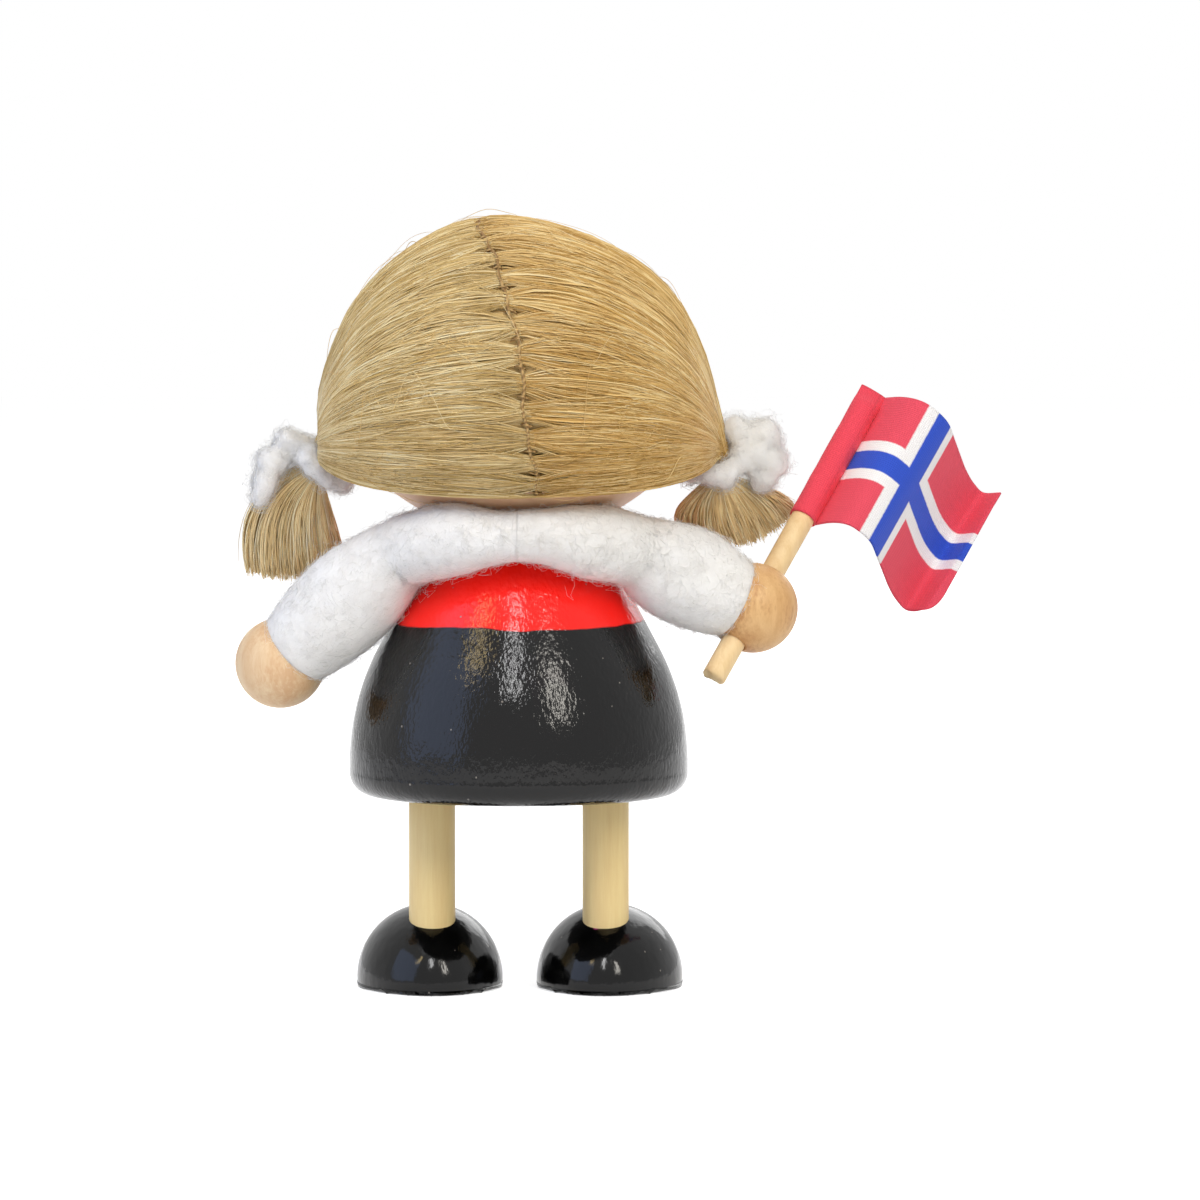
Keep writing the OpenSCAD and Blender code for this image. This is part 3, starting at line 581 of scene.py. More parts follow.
@dataclass(frozen=True)
class PaintedFace:
    """Sanded birch head with a plain face in thin paint: two dots, a smile and rubbed cheeks."""

    name: str
    wood: SandedWood
    spots: tuple[Spot, ...]
    smile_z: float
    smile_radius: float
    smile_half_angle: float
    smile_width: float
    smile_colour: str

    def material(self) -> bpy.types.Material:
        """Builds the material."""
        material = self.wood.material()
        material.name = self.name
        tree = material.node_tree
        shader = tree.nodes["Principled BSDF"]
        colour = shader.inputs["Base Color"].links[0].from_socket
        place = add_node(tree, "ShaderNodeTexCoord").outputs["Object"]
        centred = add_node(tree, "ShaderNodeVectorMath", {0: place, 1: PLACES.axis}, operation="SUBTRACT")
        split = add_node(tree, "ShaderNodeSeparateXYZ", {0: centred.outputs[0]})
        front = add_node(tree, "ShaderNodeMath", {0: split.outputs["Y"], 1: -5 * MM}, operation="LESS_THAN")
        flat = add_node(tree, "ShaderNodeCombineXYZ", {"X": split.outputs["X"], "Z": split.outputs["Z"]})
        for spot in self.spots:
            away = add_node(tree, "ShaderNodeVectorMath", {
                0: flat.outputs[0], 1: (spot.x * MM, 0, spot.z * MM)}, operation="DISTANCE")
            inside = add_node(tree, "ShaderNodeMapRange", {
                "Value": away.outputs["Value"], "From Min": (spot.radius + spot.soft) * MM,
                "From Max": (spot.radius - spot.soft) * MM, "To Max": spot.strength},
                interpolation_type="SMOOTHSTEP")
            here = add_node(tree, "ShaderNodeMath", {0: inside.outputs["Result"], 1: front.outputs[0]},
                            operation="MULTIPLY")
            colour = add_node(tree, "ShaderNodeMix", {0: here.outputs[0], 6: colour, 7: srgb(spot.colour)},
                              data_type="RGBA").outputs[2]
        middle_z = self.smile_z + self.smile_radius
        away = add_node(tree, "ShaderNodeVectorMath", {0: flat.outputs[0], 1: (0, 0, middle_z * MM)},
                        operation="DISTANCE")
        off = add_node(tree, "ShaderNodeMath", {0: away.outputs["Value"], 1: self.smile_radius * MM},
                       operation="SUBTRACT")
        width = add_node(tree, "ShaderNodeMath", {0: off.outputs[0]}, operation="ABSOLUTE")
        line = add_node(tree, "ShaderNodeMapRange", {
            "Value": width.outputs[0], "From Min": self.smile_width * 0.6 * MM,
            "From Max": self.smile_width * 0.4 * MM})
        low = (middle_z - self.smile_radius * math.cos(math.radians(self.smile_half_angle))) * MM
        below = add_node(tree, "ShaderNodeMath", {0: split.outputs["Z"], 1: low}, operation="LESS_THAN")
        part = add_node(tree, "ShaderNodeMath", {0: line.outputs["Result"], 1: below.outputs[0]},
                        operation="MULTIPLY")
        here = add_node(tree, "ShaderNodeMath", {0: part.outputs[0], 1: front.outputs[0]}, operation="MULTIPLY")
        colour = add_node(tree, "ShaderNodeMix", {0: here.outputs[0], 6: colour, 7: srgb(self.smile_colour)},
                          data_type="RGBA").outputs[2]
        tree.links.new(colour, shader.inputs["Base Color"])
        return material


@dataclass(frozen=True)
class CombedFlax:
    """Combed flax, water-retted: dull gold line fibre, glossier along its length than across.

    The fibre pieces take one tone for each fibre, and the mat below them takes its lines from its UV
    map, whose U runs along the fibres.
    """

    name: str
    tones: tuple[tuple[float, str], ...]
    roughness: float = 0.42

    def material(self) -> bpy.types.Material:
        """Builds the material of the single fibres."""
        material, tree, shader = start_material(self.name)
        island = add_node(tree, "ShaderNodeNewGeometry").outputs["Random Per Island"]
        place = add_node(tree, "ShaderNodeTexCoord").outputs["Object"]
        patch = add_node(tree, "ShaderNodeTexNoise", {"Vector": place, "Scale": 140.0, "Detail": 3.0})
        mix = add_node(tree, "ShaderNodeMath", {0: island, 1: 0.62}, operation="MULTIPLY")
        tone = add_node(tree, "ShaderNodeMath", {0: patch.outputs["Fac"], 1: 0.42, 2: mix.outputs[0]},
                        operation="MULTIPLY_ADD")
        colour = add_node(tree, "ShaderNodeValToRGB", {"Fac": tone.outputs[0]}, stops=self.tones)
        tree.links.new(colour.outputs["Color"], shader.inputs["Base Color"])
        shader.inputs["Roughness"].default_value = self.roughness
        shader.inputs["Specular IOR Level"].default_value = 0.35
        return material

    def mat(self, gap_shade: str, bundles: int, lines: float) -> bpy.types.Material:
        """Builds the material of the mat below the fibres.

        Args:
            gap_shade: colour of the painted shade in the gaps between the bundles at the seam.
            bundles: bundles over the length of the seam.
            lines: fibres over the length of the seam.

        Returns:
            The material. It reads the piece's UV map.
        """
        material, tree, shader = start_material(f"{self.name}_mat")
        uv = add_node(tree, "ShaderNodeUVMap").outputs["UV"]
        split = add_node(tree, "ShaderNodeSeparateXYZ", {0: uv})
        long = add_node(tree, "ShaderNodeMapping", {"Vector": uv, "Scale": (5.0, lines, 1.0)})
        strands = add_node(tree, "ShaderNodeTexNoise", {
            "Vector": long.outputs[0], "Scale": 1.0, "Detail": 5.0, "Roughness": 0.6})
        colour = add_node(tree, "ShaderNodeValToRGB", {"Fac": strands.outputs["Fac"]}, stops=self.tones)
        count = add_node(tree, "ShaderNodeMath", {0: split.outputs["Y"], 1: float(bundles)}, operation="MULTIPLY")
        part = add_node(tree, "ShaderNodeMath", {0: count.outputs[0]}, operation="FRACT")
        off = add_node(tree, "ShaderNodeMath", {0: part.outputs[0], 1: 0.5}, operation="SUBTRACT")
        away = add_node(tree, "ShaderNodeMath", {0: off.outputs[0]}, operation="ABSOLUTE")
        between = add_node(tree, "ShaderNodeMapRange", {"Value": away.outputs[0], "From Min": 0.3, "From Max": 0.46})
        side = add_node(tree, "ShaderNodeMath", {0: split.outputs["X"], 1: 0.5}, operation="SUBTRACT")
        far = add_node(tree, "ShaderNodeMath", {0: side.outputs[0]}, operation="ABSOLUTE")
        near = add_node(tree, "ShaderNodeMapRange", {
            "Value": far.outputs[0], "From Min": 0.09, "From Max": 0.01})
        # Painted shade: the gaps between the bundles next to the seam take the darker gap colour.
        gap = add_node(tree, "ShaderNodeMath", {0: between.outputs["Result"], 1: near.outputs["Result"]},
                       operation="MULTIPLY")
        dark = add_node(tree, "ShaderNodeMix", {0: gap.outputs[0], 6: colour.outputs["Color"], 7: srgb(gap_shade)},
                        data_type="RGBA")
        bump = add_node(tree, "ShaderNodeBump", {
            "Height": strands.outputs["Fac"], "Distance": 0.25 * MM, "Strength": 0.8})
        tree.links.new(dark.outputs[2], shader.inputs["Base Color"])
        tree.links.new(bump.outputs["Normal"], shader.inputs["Normal"])
        shader.inputs["Roughness"].default_value = 0.55
        shader.inputs["Specular IOR Level"].default_value = 0.25
        return material


@dataclass(frozen=True)
class Wool:
    """Bleached wool, felted or spun loosely: a dry matte white that light sinks into."""

    name: str
    colour: str
    shade: str
    lump_mm: float
    depth_mm: float
    sink: float = 0.5
    sink_mm: float = 0.7
    sheen: float = 0.0

    def material(self) -> bpy.types.Material:
        """Builds the material."""
        material, tree, shader = start_material(self.name)
        place = add_node(tree, "ShaderNodeTexCoord").outputs["Object"]
        lumps = add_node(tree, "ShaderNodeTexNoise", {
            "Vector": place, "Scale": 1 / (self.lump_mm * MM), "Detail": 6.0, "Roughness": 0.7})
        nap = add_node(tree, "ShaderNodeTexNoise", {
            "Vector": place, "Scale": 6 / (self.lump_mm * MM), "Detail": 3.0, "Distortion": 0.2})
        tone = add_node(tree, "ShaderNodeMapRange", {
            "Value": lumps.outputs["Fac"], "From Min": 0.3, "From Max": 0.6})
        colour = add_node(tree, "ShaderNodeMix", {
            0: tone.outputs["Result"], 6: srgb(self.shade), 7: srgb(self.colour)}, data_type="RGBA")
        soft = add_node(tree, "ShaderNodeBump", {
            "Height": lumps.outputs["Fac"], "Distance": self.depth_mm * MM, "Strength": 0.5})
        fine = add_node(tree, "ShaderNodeBump", {
            "Height": nap.outputs["Fac"], "Distance": 0.12 * self.depth_mm * MM, "Strength": 0.8,
            "Normal": soft.outputs["Normal"]})
        tree.links.new(colour.outputs[2], shader.inputs["Base Color"])
        tree.links.new(fine.outputs["Normal"], shader.inputs["Normal"])
        shader.inputs["Roughness"].default_value = 0.95
        shader.inputs["Specular IOR Level"].default_value = 0.1
        shader.inputs["Subsurface Weight"].default_value = self.sink
        shader.inputs["Subsurface Radius"].default_value = (1.0, 1.0, 1.0)
        shader.inputs["Subsurface Scale"].default_value = self.sink_mm * MM
        shader.inputs["Sheen Weight"].default_value = self.sheen
        return material

    def fibre(self) -> bpy.types.Material:
        """Builds the material of its loose fibres."""
        material, _, shader = start_material(f"{self.name}_fibre")
        shader.inputs["Base Color"].default_value = srgb(self.colour)
        shader.inputs["Roughness"].default_value = 0.8
        shader.inputs["Specular IOR Level"].default_value = 0.2
        shader.inputs["Subsurface Weight"].default_value = self.sink
        shader.inputs["Subsurface Radius"].default_value = (1.0, 1.0, 1.0)
        shader.inputs["Subsurface Scale"].default_value = self.sink_mm * MM
        shader.inputs["Sheen Weight"].default_value = 2 * self.sheen
        return material


@dataclass(frozen=True)
class SewingThread:
    """Two-ply linen sewing thread, waxed: dull brown with a twist."""

    name: str
    colour: str
    dark: str
    lay_mm: float = 0.5

    def material(self) -> bpy.types.Material:
        """Builds the material."""
        material, tree, shader = start_material(self.name)
        place = add_node(tree, "ShaderNodeTexCoord").outputs["Object"]
        twist = add_node(tree, "ShaderNodeTexWave", {
            "Vector": place, "Scale": 0.314 / (self.lay_mm * MM), "Distortion": 1.5},
            wave_type="BANDS", bands_direction="DIAGONAL")
        colour = add_node(tree, "ShaderNodeMix", {
            0: twist.outputs["Fac"], 6: srgb(self.dark), 7: srgb(self.colour)}, data_type="RGBA")
        bump = add_node(tree, "ShaderNodeBump", {"Height": twist.outputs["Fac"], "Distance": 0.08 * MM})
        tree.links.new(colour.outputs[2], shader.inputs["Base Color"])
        tree.links.new(bump.outputs["Normal"], shader.inputs["Normal"])
        shader.inputs["Roughness"].default_value = 0.7
        return material


@dataclass(frozen=True)
class PrintedCotton:
    """Plain-woven cotton printed with a cross: pigment on a fine weave, a little worn at the edges.

    The UV map is in millimetres: U along the fly from the stick, V up the hoist.
    """

    name: str
    red: str
    white: str
    blue: str
    hoist: float
    bar_left: float
    blue_bar: float
    white_bar: float
    thread_mm: float = 0.3

    def bands(self, tree: bpy.types.NodeTree, along: bpy.types.NodeSocket, middle: float,
              half: float) -> bpy.types.NodeSocket:
        """Mask of a bar of the cross.

        Args:
            tree: the material's tree.
            along: the place across the bar, in millimetres.
            middle: middle of the bar.
            half: half its width.

        Returns:
            1 inside the bar, 0 outside, with an edge a thread wide.
        """
        off = add_node(tree, "ShaderNodeMath", {0: along, 1: middle}, operation="SUBTRACT")
        away = add_node(tree, "ShaderNodeMath", {0: off.outputs[0]}, operation="ABSOLUTE")
        return add_node(tree, "ShaderNodeMapRange", {
            "Value": away.outputs[0], "From Min": half + 0.1, "From Max": half - 0.1}).outputs["Result"]

    def material(self) -> bpy.types.Material:
        """Builds the material."""
        material, tree, shader = start_material(self.name)
        uv = add_node(tree, "ShaderNodeUVMap").outputs["UV"]
        bleed = add_node(tree, "ShaderNodeTexNoise", {"Vector": uv, "Scale": 2.2, "Detail": 2.0})
        moved = add_node(tree, "ShaderNodeVectorMath", {0: bleed.outputs["Color"], 1: (0.12, 0.12, 0.0), 2: uv},
                         operation="MULTIPLY_ADD")
        split = add_node(tree, "ShaderNodeSeparateXYZ", {0: moved.outputs[0]})
        masks = []
        for half in (self.blue_bar / 2 + self.white_bar, self.blue_bar / 2):
            upright = self.bands(tree, split.outputs["X"], self.bar_left, half)
            level = self.bands(tree, split.outputs["Y"], self.hoist / 2, half)
            masks.append(add_node(tree, "ShaderNodeMath", {0: upright, 1: level}, operation="MAXIMUM").outputs[0])
        ground = add_node(tree, "ShaderNodeMix", {0: masks[0], 6: srgb(self.red), 7: srgb(self.white)},
                          data_type="RGBA")
        cross = add_node(tree, "ShaderNodeMix", {0: masks[1], 6: ground.outputs[2], 7: srgb(self.blue)},
                         data_type="RGBA")
        warp = add_node(tree, "ShaderNodeTexWave", {"Vector": uv, "Scale": 0.314 / self.thread_mm},
                        bands_direction="X")
        weft = add_node(tree, "ShaderNodeTexWave", {"Vector": uv, "Scale": 0.314 / self.thread_mm},
                        bands_direction="Y")
        weave = add_node(tree, "ShaderNodeMath", {0: warp.outputs["Fac"], 1: weft.outputs["Fac"]},
                         operation="ADD")
        shade = add_node(tree, "ShaderNodeMapRange", {
            "Value": weave.outputs[0], "From Min": 0.0, "From Max": 2.0, "To Min": 0.9, "To Max": 1.03})
        colour = add_node(tree, "ShaderNodeVectorMath", {0: cross.outputs[2], "Scale": shade.outputs["Result"]},
                          operation="SCALE")
        bump = add_node(tree, "ShaderNodeBump", {
            "Height": weave.outputs[0], "Distance": 0.04 * MM, "Strength": 0.6})
        tree.links.new(colour.outputs[0], shader.inputs["Base Color"])
        tree.links.new(bump.outputs["Normal"], shader.inputs["Normal"])
        shader.inputs["Roughness"].default_value = 0.75
        shader.inputs["Specular IOR Level"].default_value = 0.25
        shader.inputs["Sheen Weight"].default_value = 0.1
        return material


@dataclass(frozen=True)
class DrawnSteel:
    """Galvanised steel wire, drawn: dull grey with fine lines along it."""

    name: str
    colour: str = "9a9c9e"

    def material(self) -> bpy.types.Material:
        """Builds the material."""
        material, tree, shader = start_material(self.name)
        place = add_node(tree, "ShaderNodeTexCoord").outputs["Object"]
        lines = add_node(tree, "ShaderNodeTexNoise", {"Vector": place, "Scale": 3000.0, "Detail": 2.0})
        rough = add_node(tree, "ShaderNodeMapRange", {
            "Value": lines.outputs["Fac"], "To Min": 0.3, "To Max": 0.5})
        tree.links.new(rough.outputs["Result"], shader.inputs["Roughness"])
        shader.inputs["Base Color"].default_value = srgb(self.colour)
        shader.inputs["Metallic"].default_value = 1.0
        return material


# Body, legs and head


@dataclass
class TurnedBody:
    """The turned bell body, painted black below the waist and red above it."""

    radius: float = 22.6
    belly_z: float = 30.5
    bottom_z: float = 26.4
    top_z: float = 61.2
    flank_radius: float = 33.0
    flank_angle: float = 28.0
    shoulder_round: float = 6.0
    hem_round: float = 3.0
    waist_z: float = 49.5

    def profile(self) -> list[tuple[float, float]]:
        """Outline from the middle of the underside to the middle of the top."""
        middle_x = self.radius - self.flank_radius
        lean = math.radians(self.flank_angle)
        top_r = middle_x + self.flank_radius * math.cos(lean)
        top_z = self.belly_z + self.flank_radius * math.sin(lean)
        round_z = self.top_z - self.shoulder_round
        round_x = top_r - (self.shoulder_round + math.sin(lean) * (round_z - top_z)) / math.cos(lean)
        hem_z = self.bottom_z + self.hem_round
        start = -math.degrees(math.asin((self.belly_z - hem_z) / self.flank_radius))
        return [
            (0.0, self.bottom_z), (10.0, self.bottom_z),
            *arc((self.radius - self.hem_round, hem_z), self.hem_round, -90, -2, 12),
            *arc((middle_x, self.belly_z), self.flank_radius, start, self.flank_angle, 28),
            *arc((round_x, round_z), self.shoulder_round, self.flank_angle, 90, 14),
            (8.0, self.top_z), (0.0, self.top_z),
        ]

    def build(self) -> bpy.types.Object:
        """Turns the body and paints it."""
        finish = BrushedEnamel("brushed_enamel", lower="060505", upper="fd170b", line_z=self.waist_z)
        piece = keep_mesh(spin_profile(self.profile(), 160), "painted_body", finish.material())
        return settle(piece, "torso", "body_paint", "body")


@dataclass
class LegAndShoe:
    """One dowel leg and its half-egg shoe."""

    side: Side
    leg_x: float = 11.6
    leg_r: float = 3.1
    leg_low_z: float = 5.2
    leg_high_z: float = 37.3
    shoe_r: float = 9.8
    shoe_half_l: float = 13.0
    shoe_axis_z: float = 1.3
    shoe_ahead: float = 5.2
    heel_share: float = 0.72
    toe_share: float = 0.8
    toe_turn: float = 5.0
    sole_round: float = 0.7

    def leg(self, wood: bpy.types.Material) -> bpy.types.Object:
        """Turns the dowel.

        Args:
            wood: the bare wood of the dowels.

        Returns:
            The leg.
        """
        mesh = spin_profile([(0, self.leg_low_z), (self.leg_r, self.leg_low_z),
                             (self.leg_r, self.leg_high_z), (0, self.leg_high_z)], 64)
        rims = [e for e in mesh.edges if e.is_manifold and e.calc_face_angle() > 1]
        bmesh.ops.bevel(mesh, geom=rims, affect="EDGES", offset=0.25, segments=2, profile=0.5, material=-1)
        bmesh.ops.translate(mesh, verts=mesh.verts, vec=(self.side.value * self.leg_x, 0, 0))
        piece = keep_mesh(mesh, f"dowel_leg_{self.side.word}", wood)
        for face in piece.data.polygons:
            face.use_smooth = abs(face.normal.z) < 0.9
        return settle(piece, "torso", "dowel_wood", f"leg_{self.side.word}")

    def egg(self) -> list[tuple[float, float]]:
        """Outline of the egg from the heel's tip to the toe's tip."""
        halves = []
        for share in (self.heel_share, self.toe_share):
            tip_r = share * self.shoe_r
            far = self.shoe_half_l - tip_r
            side_r = (self.shoe_r ** 2 - tip_r ** 2 + far ** 2) / (2 * (self.shoe_r - tip_r))
            meet = math.degrees(math.atan2(far, side_r - self.shoe_r))
            tip = arc((0, far), tip_r, 90, meet, 18)
            halves.append([*tip, *arc((self.shoe_r - side_r, 0), side_r, meet, 0, 14)[1:]])
        heel = [(r, -z) for r, z in halves[0]]
        return [*heel, *reversed(halves[1][:-1])]

    def shoe(self, enamel: bpy.types.Material) -> bpy.types.Object:
        """Turns the egg, cuts it flat and rounds the edge of the sole.

        Args:
            enamel: the black gloss paint.

        Returns:
            The shoe.
        """
        mesh = spin_profile(self.egg(), 96)
        turn = Matrix.Rotation(math.radians(90), 4, "X")
        place = Matrix.Translation((0, -self.shoe_ahead, self.shoe_axis_z))
        toe = Matrix.Rotation(math.radians(self.side.value * self.toe_turn), 4, "Z")
        spot = Matrix.Translation((self.side.value * self.leg_x, 0, 0))
        bmesh.ops.transform(mesh, matrix=spot @ toe @ place @ turn, verts=mesh.verts)
        cut = bmesh.ops.bisect_plane(mesh, geom=[*mesh.verts, *mesh.edges, *mesh.faces], dist=1e-4,
                                     plane_co=(0, 0, 0), plane_no=(0, 0, 1), clear_inner=True)
        rim = [item for item in cut["geom_cut"] if isinstance(item, bmesh.types.BMEdge)]
        bmesh.ops.holes_fill(mesh, edges=rim, sides=0)
        bmesh.ops.bevel(mesh, geom=rim, affect="EDGES", offset=self.sole_round, segments=4, profile=0.5,
                        material=-1)
        bmesh.ops.recalc_face_normals(mesh, faces=mesh.faces)
        piece = keep_mesh(mesh, f"half_egg_shoe_{self.side.word}", enamel)
        return settle(piece, "torso", "shoe_paint", f"shoe_{self.side.word}")


@dataclass
class BallHead:
    """The oblate turned head with its bead nose and a plain painted face."""

    radius: float = 24.5
    half_height: float = 20.5
    middle_z: float = 81.5
    side_share: float = 0.714
    seat_z: float = 61.2
    nose_r: float = 2.1
    nose_z: float = 77.5
    nose_out_share: float = 0.4

    def profile(self) -> list[tuple[float, float]]:
        """Four-centre oval from the flat seat to the top."""
        side_r = self.side_share * self.radius
        crown_r = (self.radius ** 2 - 2 * self.radius * side_r + self.half_height ** 2) \
            / (2 * (self.half_height - side_r))
        meet = math.degrees(math.atan2(crown_r - self.half_height, self.radius - side_r))
        upper = [*arc((self.radius - side_r, self.middle_z), side_r, 0, meet, 24),
                 *arc((0, self.middle_z + self.half_height - crown_r), crown_r, meet, 90, 28)[1:]]
        lower = [(r, 2 * self.middle_z - z) for r, z in reversed(upper[1:])]
        cut = [(r, z) for r, z in lower if z > self.seat_z + 0.05]
        flat_r = crown_r * math.sin(math.acos((self.middle_z - self.half_height + crown_r - self.seat_z) / crown_r))
        return [(0.0, self.seat_z), (flat_r, self.seat_z), *cut, *upper[:-1], (0.0, upper[-1][1])]

    def build(self, bead_wood: bpy.types.Material) -> None:
        """Turns the head and its nose.

        Args:
            bead_wood: the bare wood of the beads.
        """
        wood = SandedWood("head_birch", pale="ecc8a2", dark="dba883", along=Vector((0.1, 0.0, 1.0)).normalized(),
                          band_mm=2.6, contrast=0.8)
        face = PaintedFace(
            "birch_with_painted_face", wood,
            (Spot(7.6, 80.6, 1.45, 0.12, "16120f"), Spot(-7.6, 80.6, 1.45, 0.12, "16120f"),
             Spot(12.2, 74.6, 3.4, 2.4, "e0685c", 0.55), Spot(-12.2, 74.6, 3.4, 2.4, "e0685c", 0.55)),
            smile_z=70.6, smile_radius=5.2, smile_half_angle=48, smile_width=0.75, smile_colour="c2322c")
        piece = keep_mesh(spin_profile(self.profile(), 144), "birch_head", face.material())
        settle(piece, "torso", "head_wood", "head")
        nose = bmesh.new()
        bmesh.ops.create_uvsphere(nose, u_segments=32, v_segments=20, radius=self.nose_r)
        face_y = -self.radius * math.sqrt(1 - ((self.nose_z - self.middle_z) / self.half_height) ** 2)
        out = (1 - 2 * self.nose_out_share) * self.nose_r
        bmesh.ops.translate(nose, verts=nose.verts, vec=(0, face_y + out, self.nose_z))
        settle(keep_mesh(nose, "nose_bead", bead_wood), "torso", "bead_wood", "nose")


# Flax hair


def curve_table(pairs: Sequence[tuple[float, float]], at: np.ndarray) -> np.ndarray:
    """Smooth curve through a table.

    Args:
        pairs: keys and values.
        at: where to read it.

    Returns:
        The values.
    """
    keys = np.array([p[0] for p in pairs], float)
    values = np.array([p[1] for p in pairs], float)
    slopes = np.gradient(values, keys) if len(keys) > 2 else np.zeros(len(keys))
    at = np.clip(at, keys[0], keys[-1])
    i = np.clip(np.searchsorted(keys, at) - 1, 0, len(keys) - 2)
    w = keys[i + 1] - keys[i]
    t = (at - keys[i]) / w
    blend = t * t * (3 - 2 * t)
    return values[i] * (1 - blend) + values[i + 1] * blend \
        + w * t * (1 - t) * ((1 - t) * slopes[i] - t * slopes[i + 1])


@dataclass
class FlaxCap:
    """The cap of flax, sewn in bundles along a parting and gathered at both sides.

    A place on it has an angle over the head, phi, from the nape to the brow round the line that joins
    the two gathers, and an angle from the seam towards a gather.
    """

    head_r: float = 24.5
    head_half_h: float = 20.5
    head_z: float = 81.5
    gap: float = 0.6
    thin: float = 0.9
    back_y: float = 26.7
    top_z: float = 104.0
    gather: tuple[float, float, float] = (27.2, -3.0, 72.4)
    bulge_share: float = 0.909
    nape_phi: float = -19.0
    brow_phi: float = 128.0
    nape_tuck: float = 0.4
    bundles: int = 22
    slit_share: float = 0.4
    slit_angle: float = 7.0
    mouth_angle: float = 78.0
    lower: float = 0.5
    flat_right: float = 1.5
    flat_left: float = 0.6
    nape_lift: float = 5.2
    nape_spread: float = 60.0
    seam_shares: tuple[tuple[float, float], ...] = (
        (-19, -0.095), (-8, -0.09), (13, -0.04), (33, 0.015), (47, 0.09), (64, 0.17), (85, 0.19), (128, 0.06))
    strands: int = 1450
    fine_strands: int = 1050
    strand_points: int = 15
    strand_r: float = 0.1
    seed: int = 11

    def reach(self, phi: np.ndarray) -> np.ndarray:
        """Distance of the hair from the line of the gathers, at an angle over the head."""
        half_h = self.top_z - self.head_z
        c, s = np.cos(np.radians(phi)), np.sin(np.radians(phi))
        y, z = self.gather[1], self.gather[2] - self.head_z
        qa = (c / self.back_y) ** 2 + (s / half_h) ** 2
        qb = 2 * (y * c / self.back_y ** 2 + z * s / half_h ** 2)
        qc = (y / self.back_y) ** 2 + (z / half_h) ** 2 - 1
        t = np.clip(-phi / -self.nape_phi, 0, 1)
        return (-qb + np.sqrt(qb * qb - 4 * qa * qc)) / (2 * qa) - self.nape_tuck * t * t * (3 - 2 * t)

    def head_reach(self, phi: np.ndarray, x: np.ndarray) -> np.ndarray:
        """Distance of the head from that line, or 0 where it is missed."""
        c, s = np.cos(np.radians(phi)), np.sin(np.radians(phi))
        y, z = self.gather[1], self.gather[2] - self.head_z
        qa = (c / self.head_r) ** 2 + (s / self.head_half_h) ** 2
        qb = 2 * (y * c / self.head_r ** 2 + z * s / self.head_half_h ** 2)
        qc = (x / self.head_r) ** 2 + (y / self.head_r) ** 2 + (z / self.head_half_h) ** 2 - 1
        q = qb * qb - 4 * qa * qc
        return np.where(q > 0, np.maximum(0, (-qb + np.sqrt(np.maximum(q, 0))) / (2 * qa)), 0)

    def point(self, phi: np.ndarray, from_seam: np.ndarray, out: np.ndarray) -> np.ndarray:
        """Point of the hair.

        Args:
            phi: angle over the head in degrees.
            from_seam: angle from the seam, towards +X where it is positive.
            out: height over the cap's surface.

        Returns:
            The point, in millimetres round the doll's axis.
        """
        lean = np.degrees(np.arcsin(curve_table(self.seam_shares, phi)))
        a = np.radians(from_seam + lean * np.cos(np.radians(from_seam)) ** 2)
        x = self.gather[0] * np.sin(a)
        bulge = self.reach(phi) * np.cos(a) ** self.bulge_share
        head = self.head_reach(phi, x)
        laid = head + self.gap + self.thin
        both = (bulge + laid + np.sqrt((bulge - laid) ** 2 + self.gap ** 2)) / 2
        r = np.where(head > 0, both, bulge) + out - self.flatter(phi, from_seam)
        c, s = np.cos(np.radians(phi)), np.sin(np.radians(phi))
        x = np.where(x < 0, 0.985, 1.0) * x
        return np.stack([x, self.gather[1] + r * c, self.gather[2] + r * s], -1)

    def nape(self, from_seam: np.ndarray) -> np.ndarray:
        """Lowest angle of the hair over the nape, highest at the seam."""
        return self.nape_phi + self.nape_lift * np.exp(-(from_seam / self.nape_spread) ** 2)

    def flatter(self, phi: np.ndarray, from_seam: np.ndarray) -> np.ndarray:
        """How much lower the hair lies beside the crown, more so on the right."""
        crown = np.exp(-((phi - 92) / 42) ** 2)
        right = self.flat_right * np.exp(-((from_seam + 30) / 24) ** 2)
        left = self.flat_left * np.exp(-((from_seam - 30) / 24) ** 2)
        return crown * (right + left)

    def mat_piece(self, flax: CombedFlax) -> bpy.types.Object:
        """The mat of hair that the loose fibres lie on.

        Args:
            flax: the hair's finish.

        Returns:
            The piece, which stands for the cap.
        """
        across, along = 96, 176
        mesh = bmesh.new()
        bmesh.ops.create_grid(mesh, x_segments=across, y_segments=along, size=0.5)
        layer = mesh.loops.layers.uv.new("UVMap")
        for face in mesh.faces:
            for loop in face.loops:
                loop[layer].uv = (loop.vert.co.x + 0.5, loop.vert.co.y + 0.5)
        flat = np.array([v.co for v in mesh.verts])
        a = 2 * self.mouth_angle * flat[:, 0]
        low = self.nape(a) + 0.6
        phi = low + (flat[:, 1] + 0.5) * (self.brow_phi - low)
        part = np.abs(((flat[:, 1] + 0.5) * self.bundles) % 1 - 0.5) * 2
        dip = 0.5 * part ** 4 * np.exp(-(a / 30) ** 2) + 0.35 * np.exp(-(a / 3) ** 2)
        for vertex, spot in zip(mesh.verts, self.point(phi, a, -0.42 - self.lower - dip)):
            vertex.co = spot
        bmesh.ops.recalc_face_normals(mesh, faces=mesh.faces)
        # The first colour is painted shade for the gaps between the bundles at the parting.
        finish = flax.mat("3c2a16", self.bundles, 330.0)
        piece = keep_mesh(mesh, "flax_mat", finish)
        centre = PLACES.row(np.array([0, 0, self.head_z]))
        face = piece.data.polygons[len(piece.data.polygons) // 2]
        if face.normal.dot(face.center - Vector(centre)) < 0:
            piece.data.flip_normals()
        wall = piece.modifiers.new("wall", "SOLIDIFY")
        wall.thickness = 0.35 * MM
        wall.offset = -1
        apply_modifiers(piece)
        return settle(piece, "torso", "flax", "hair_cap")

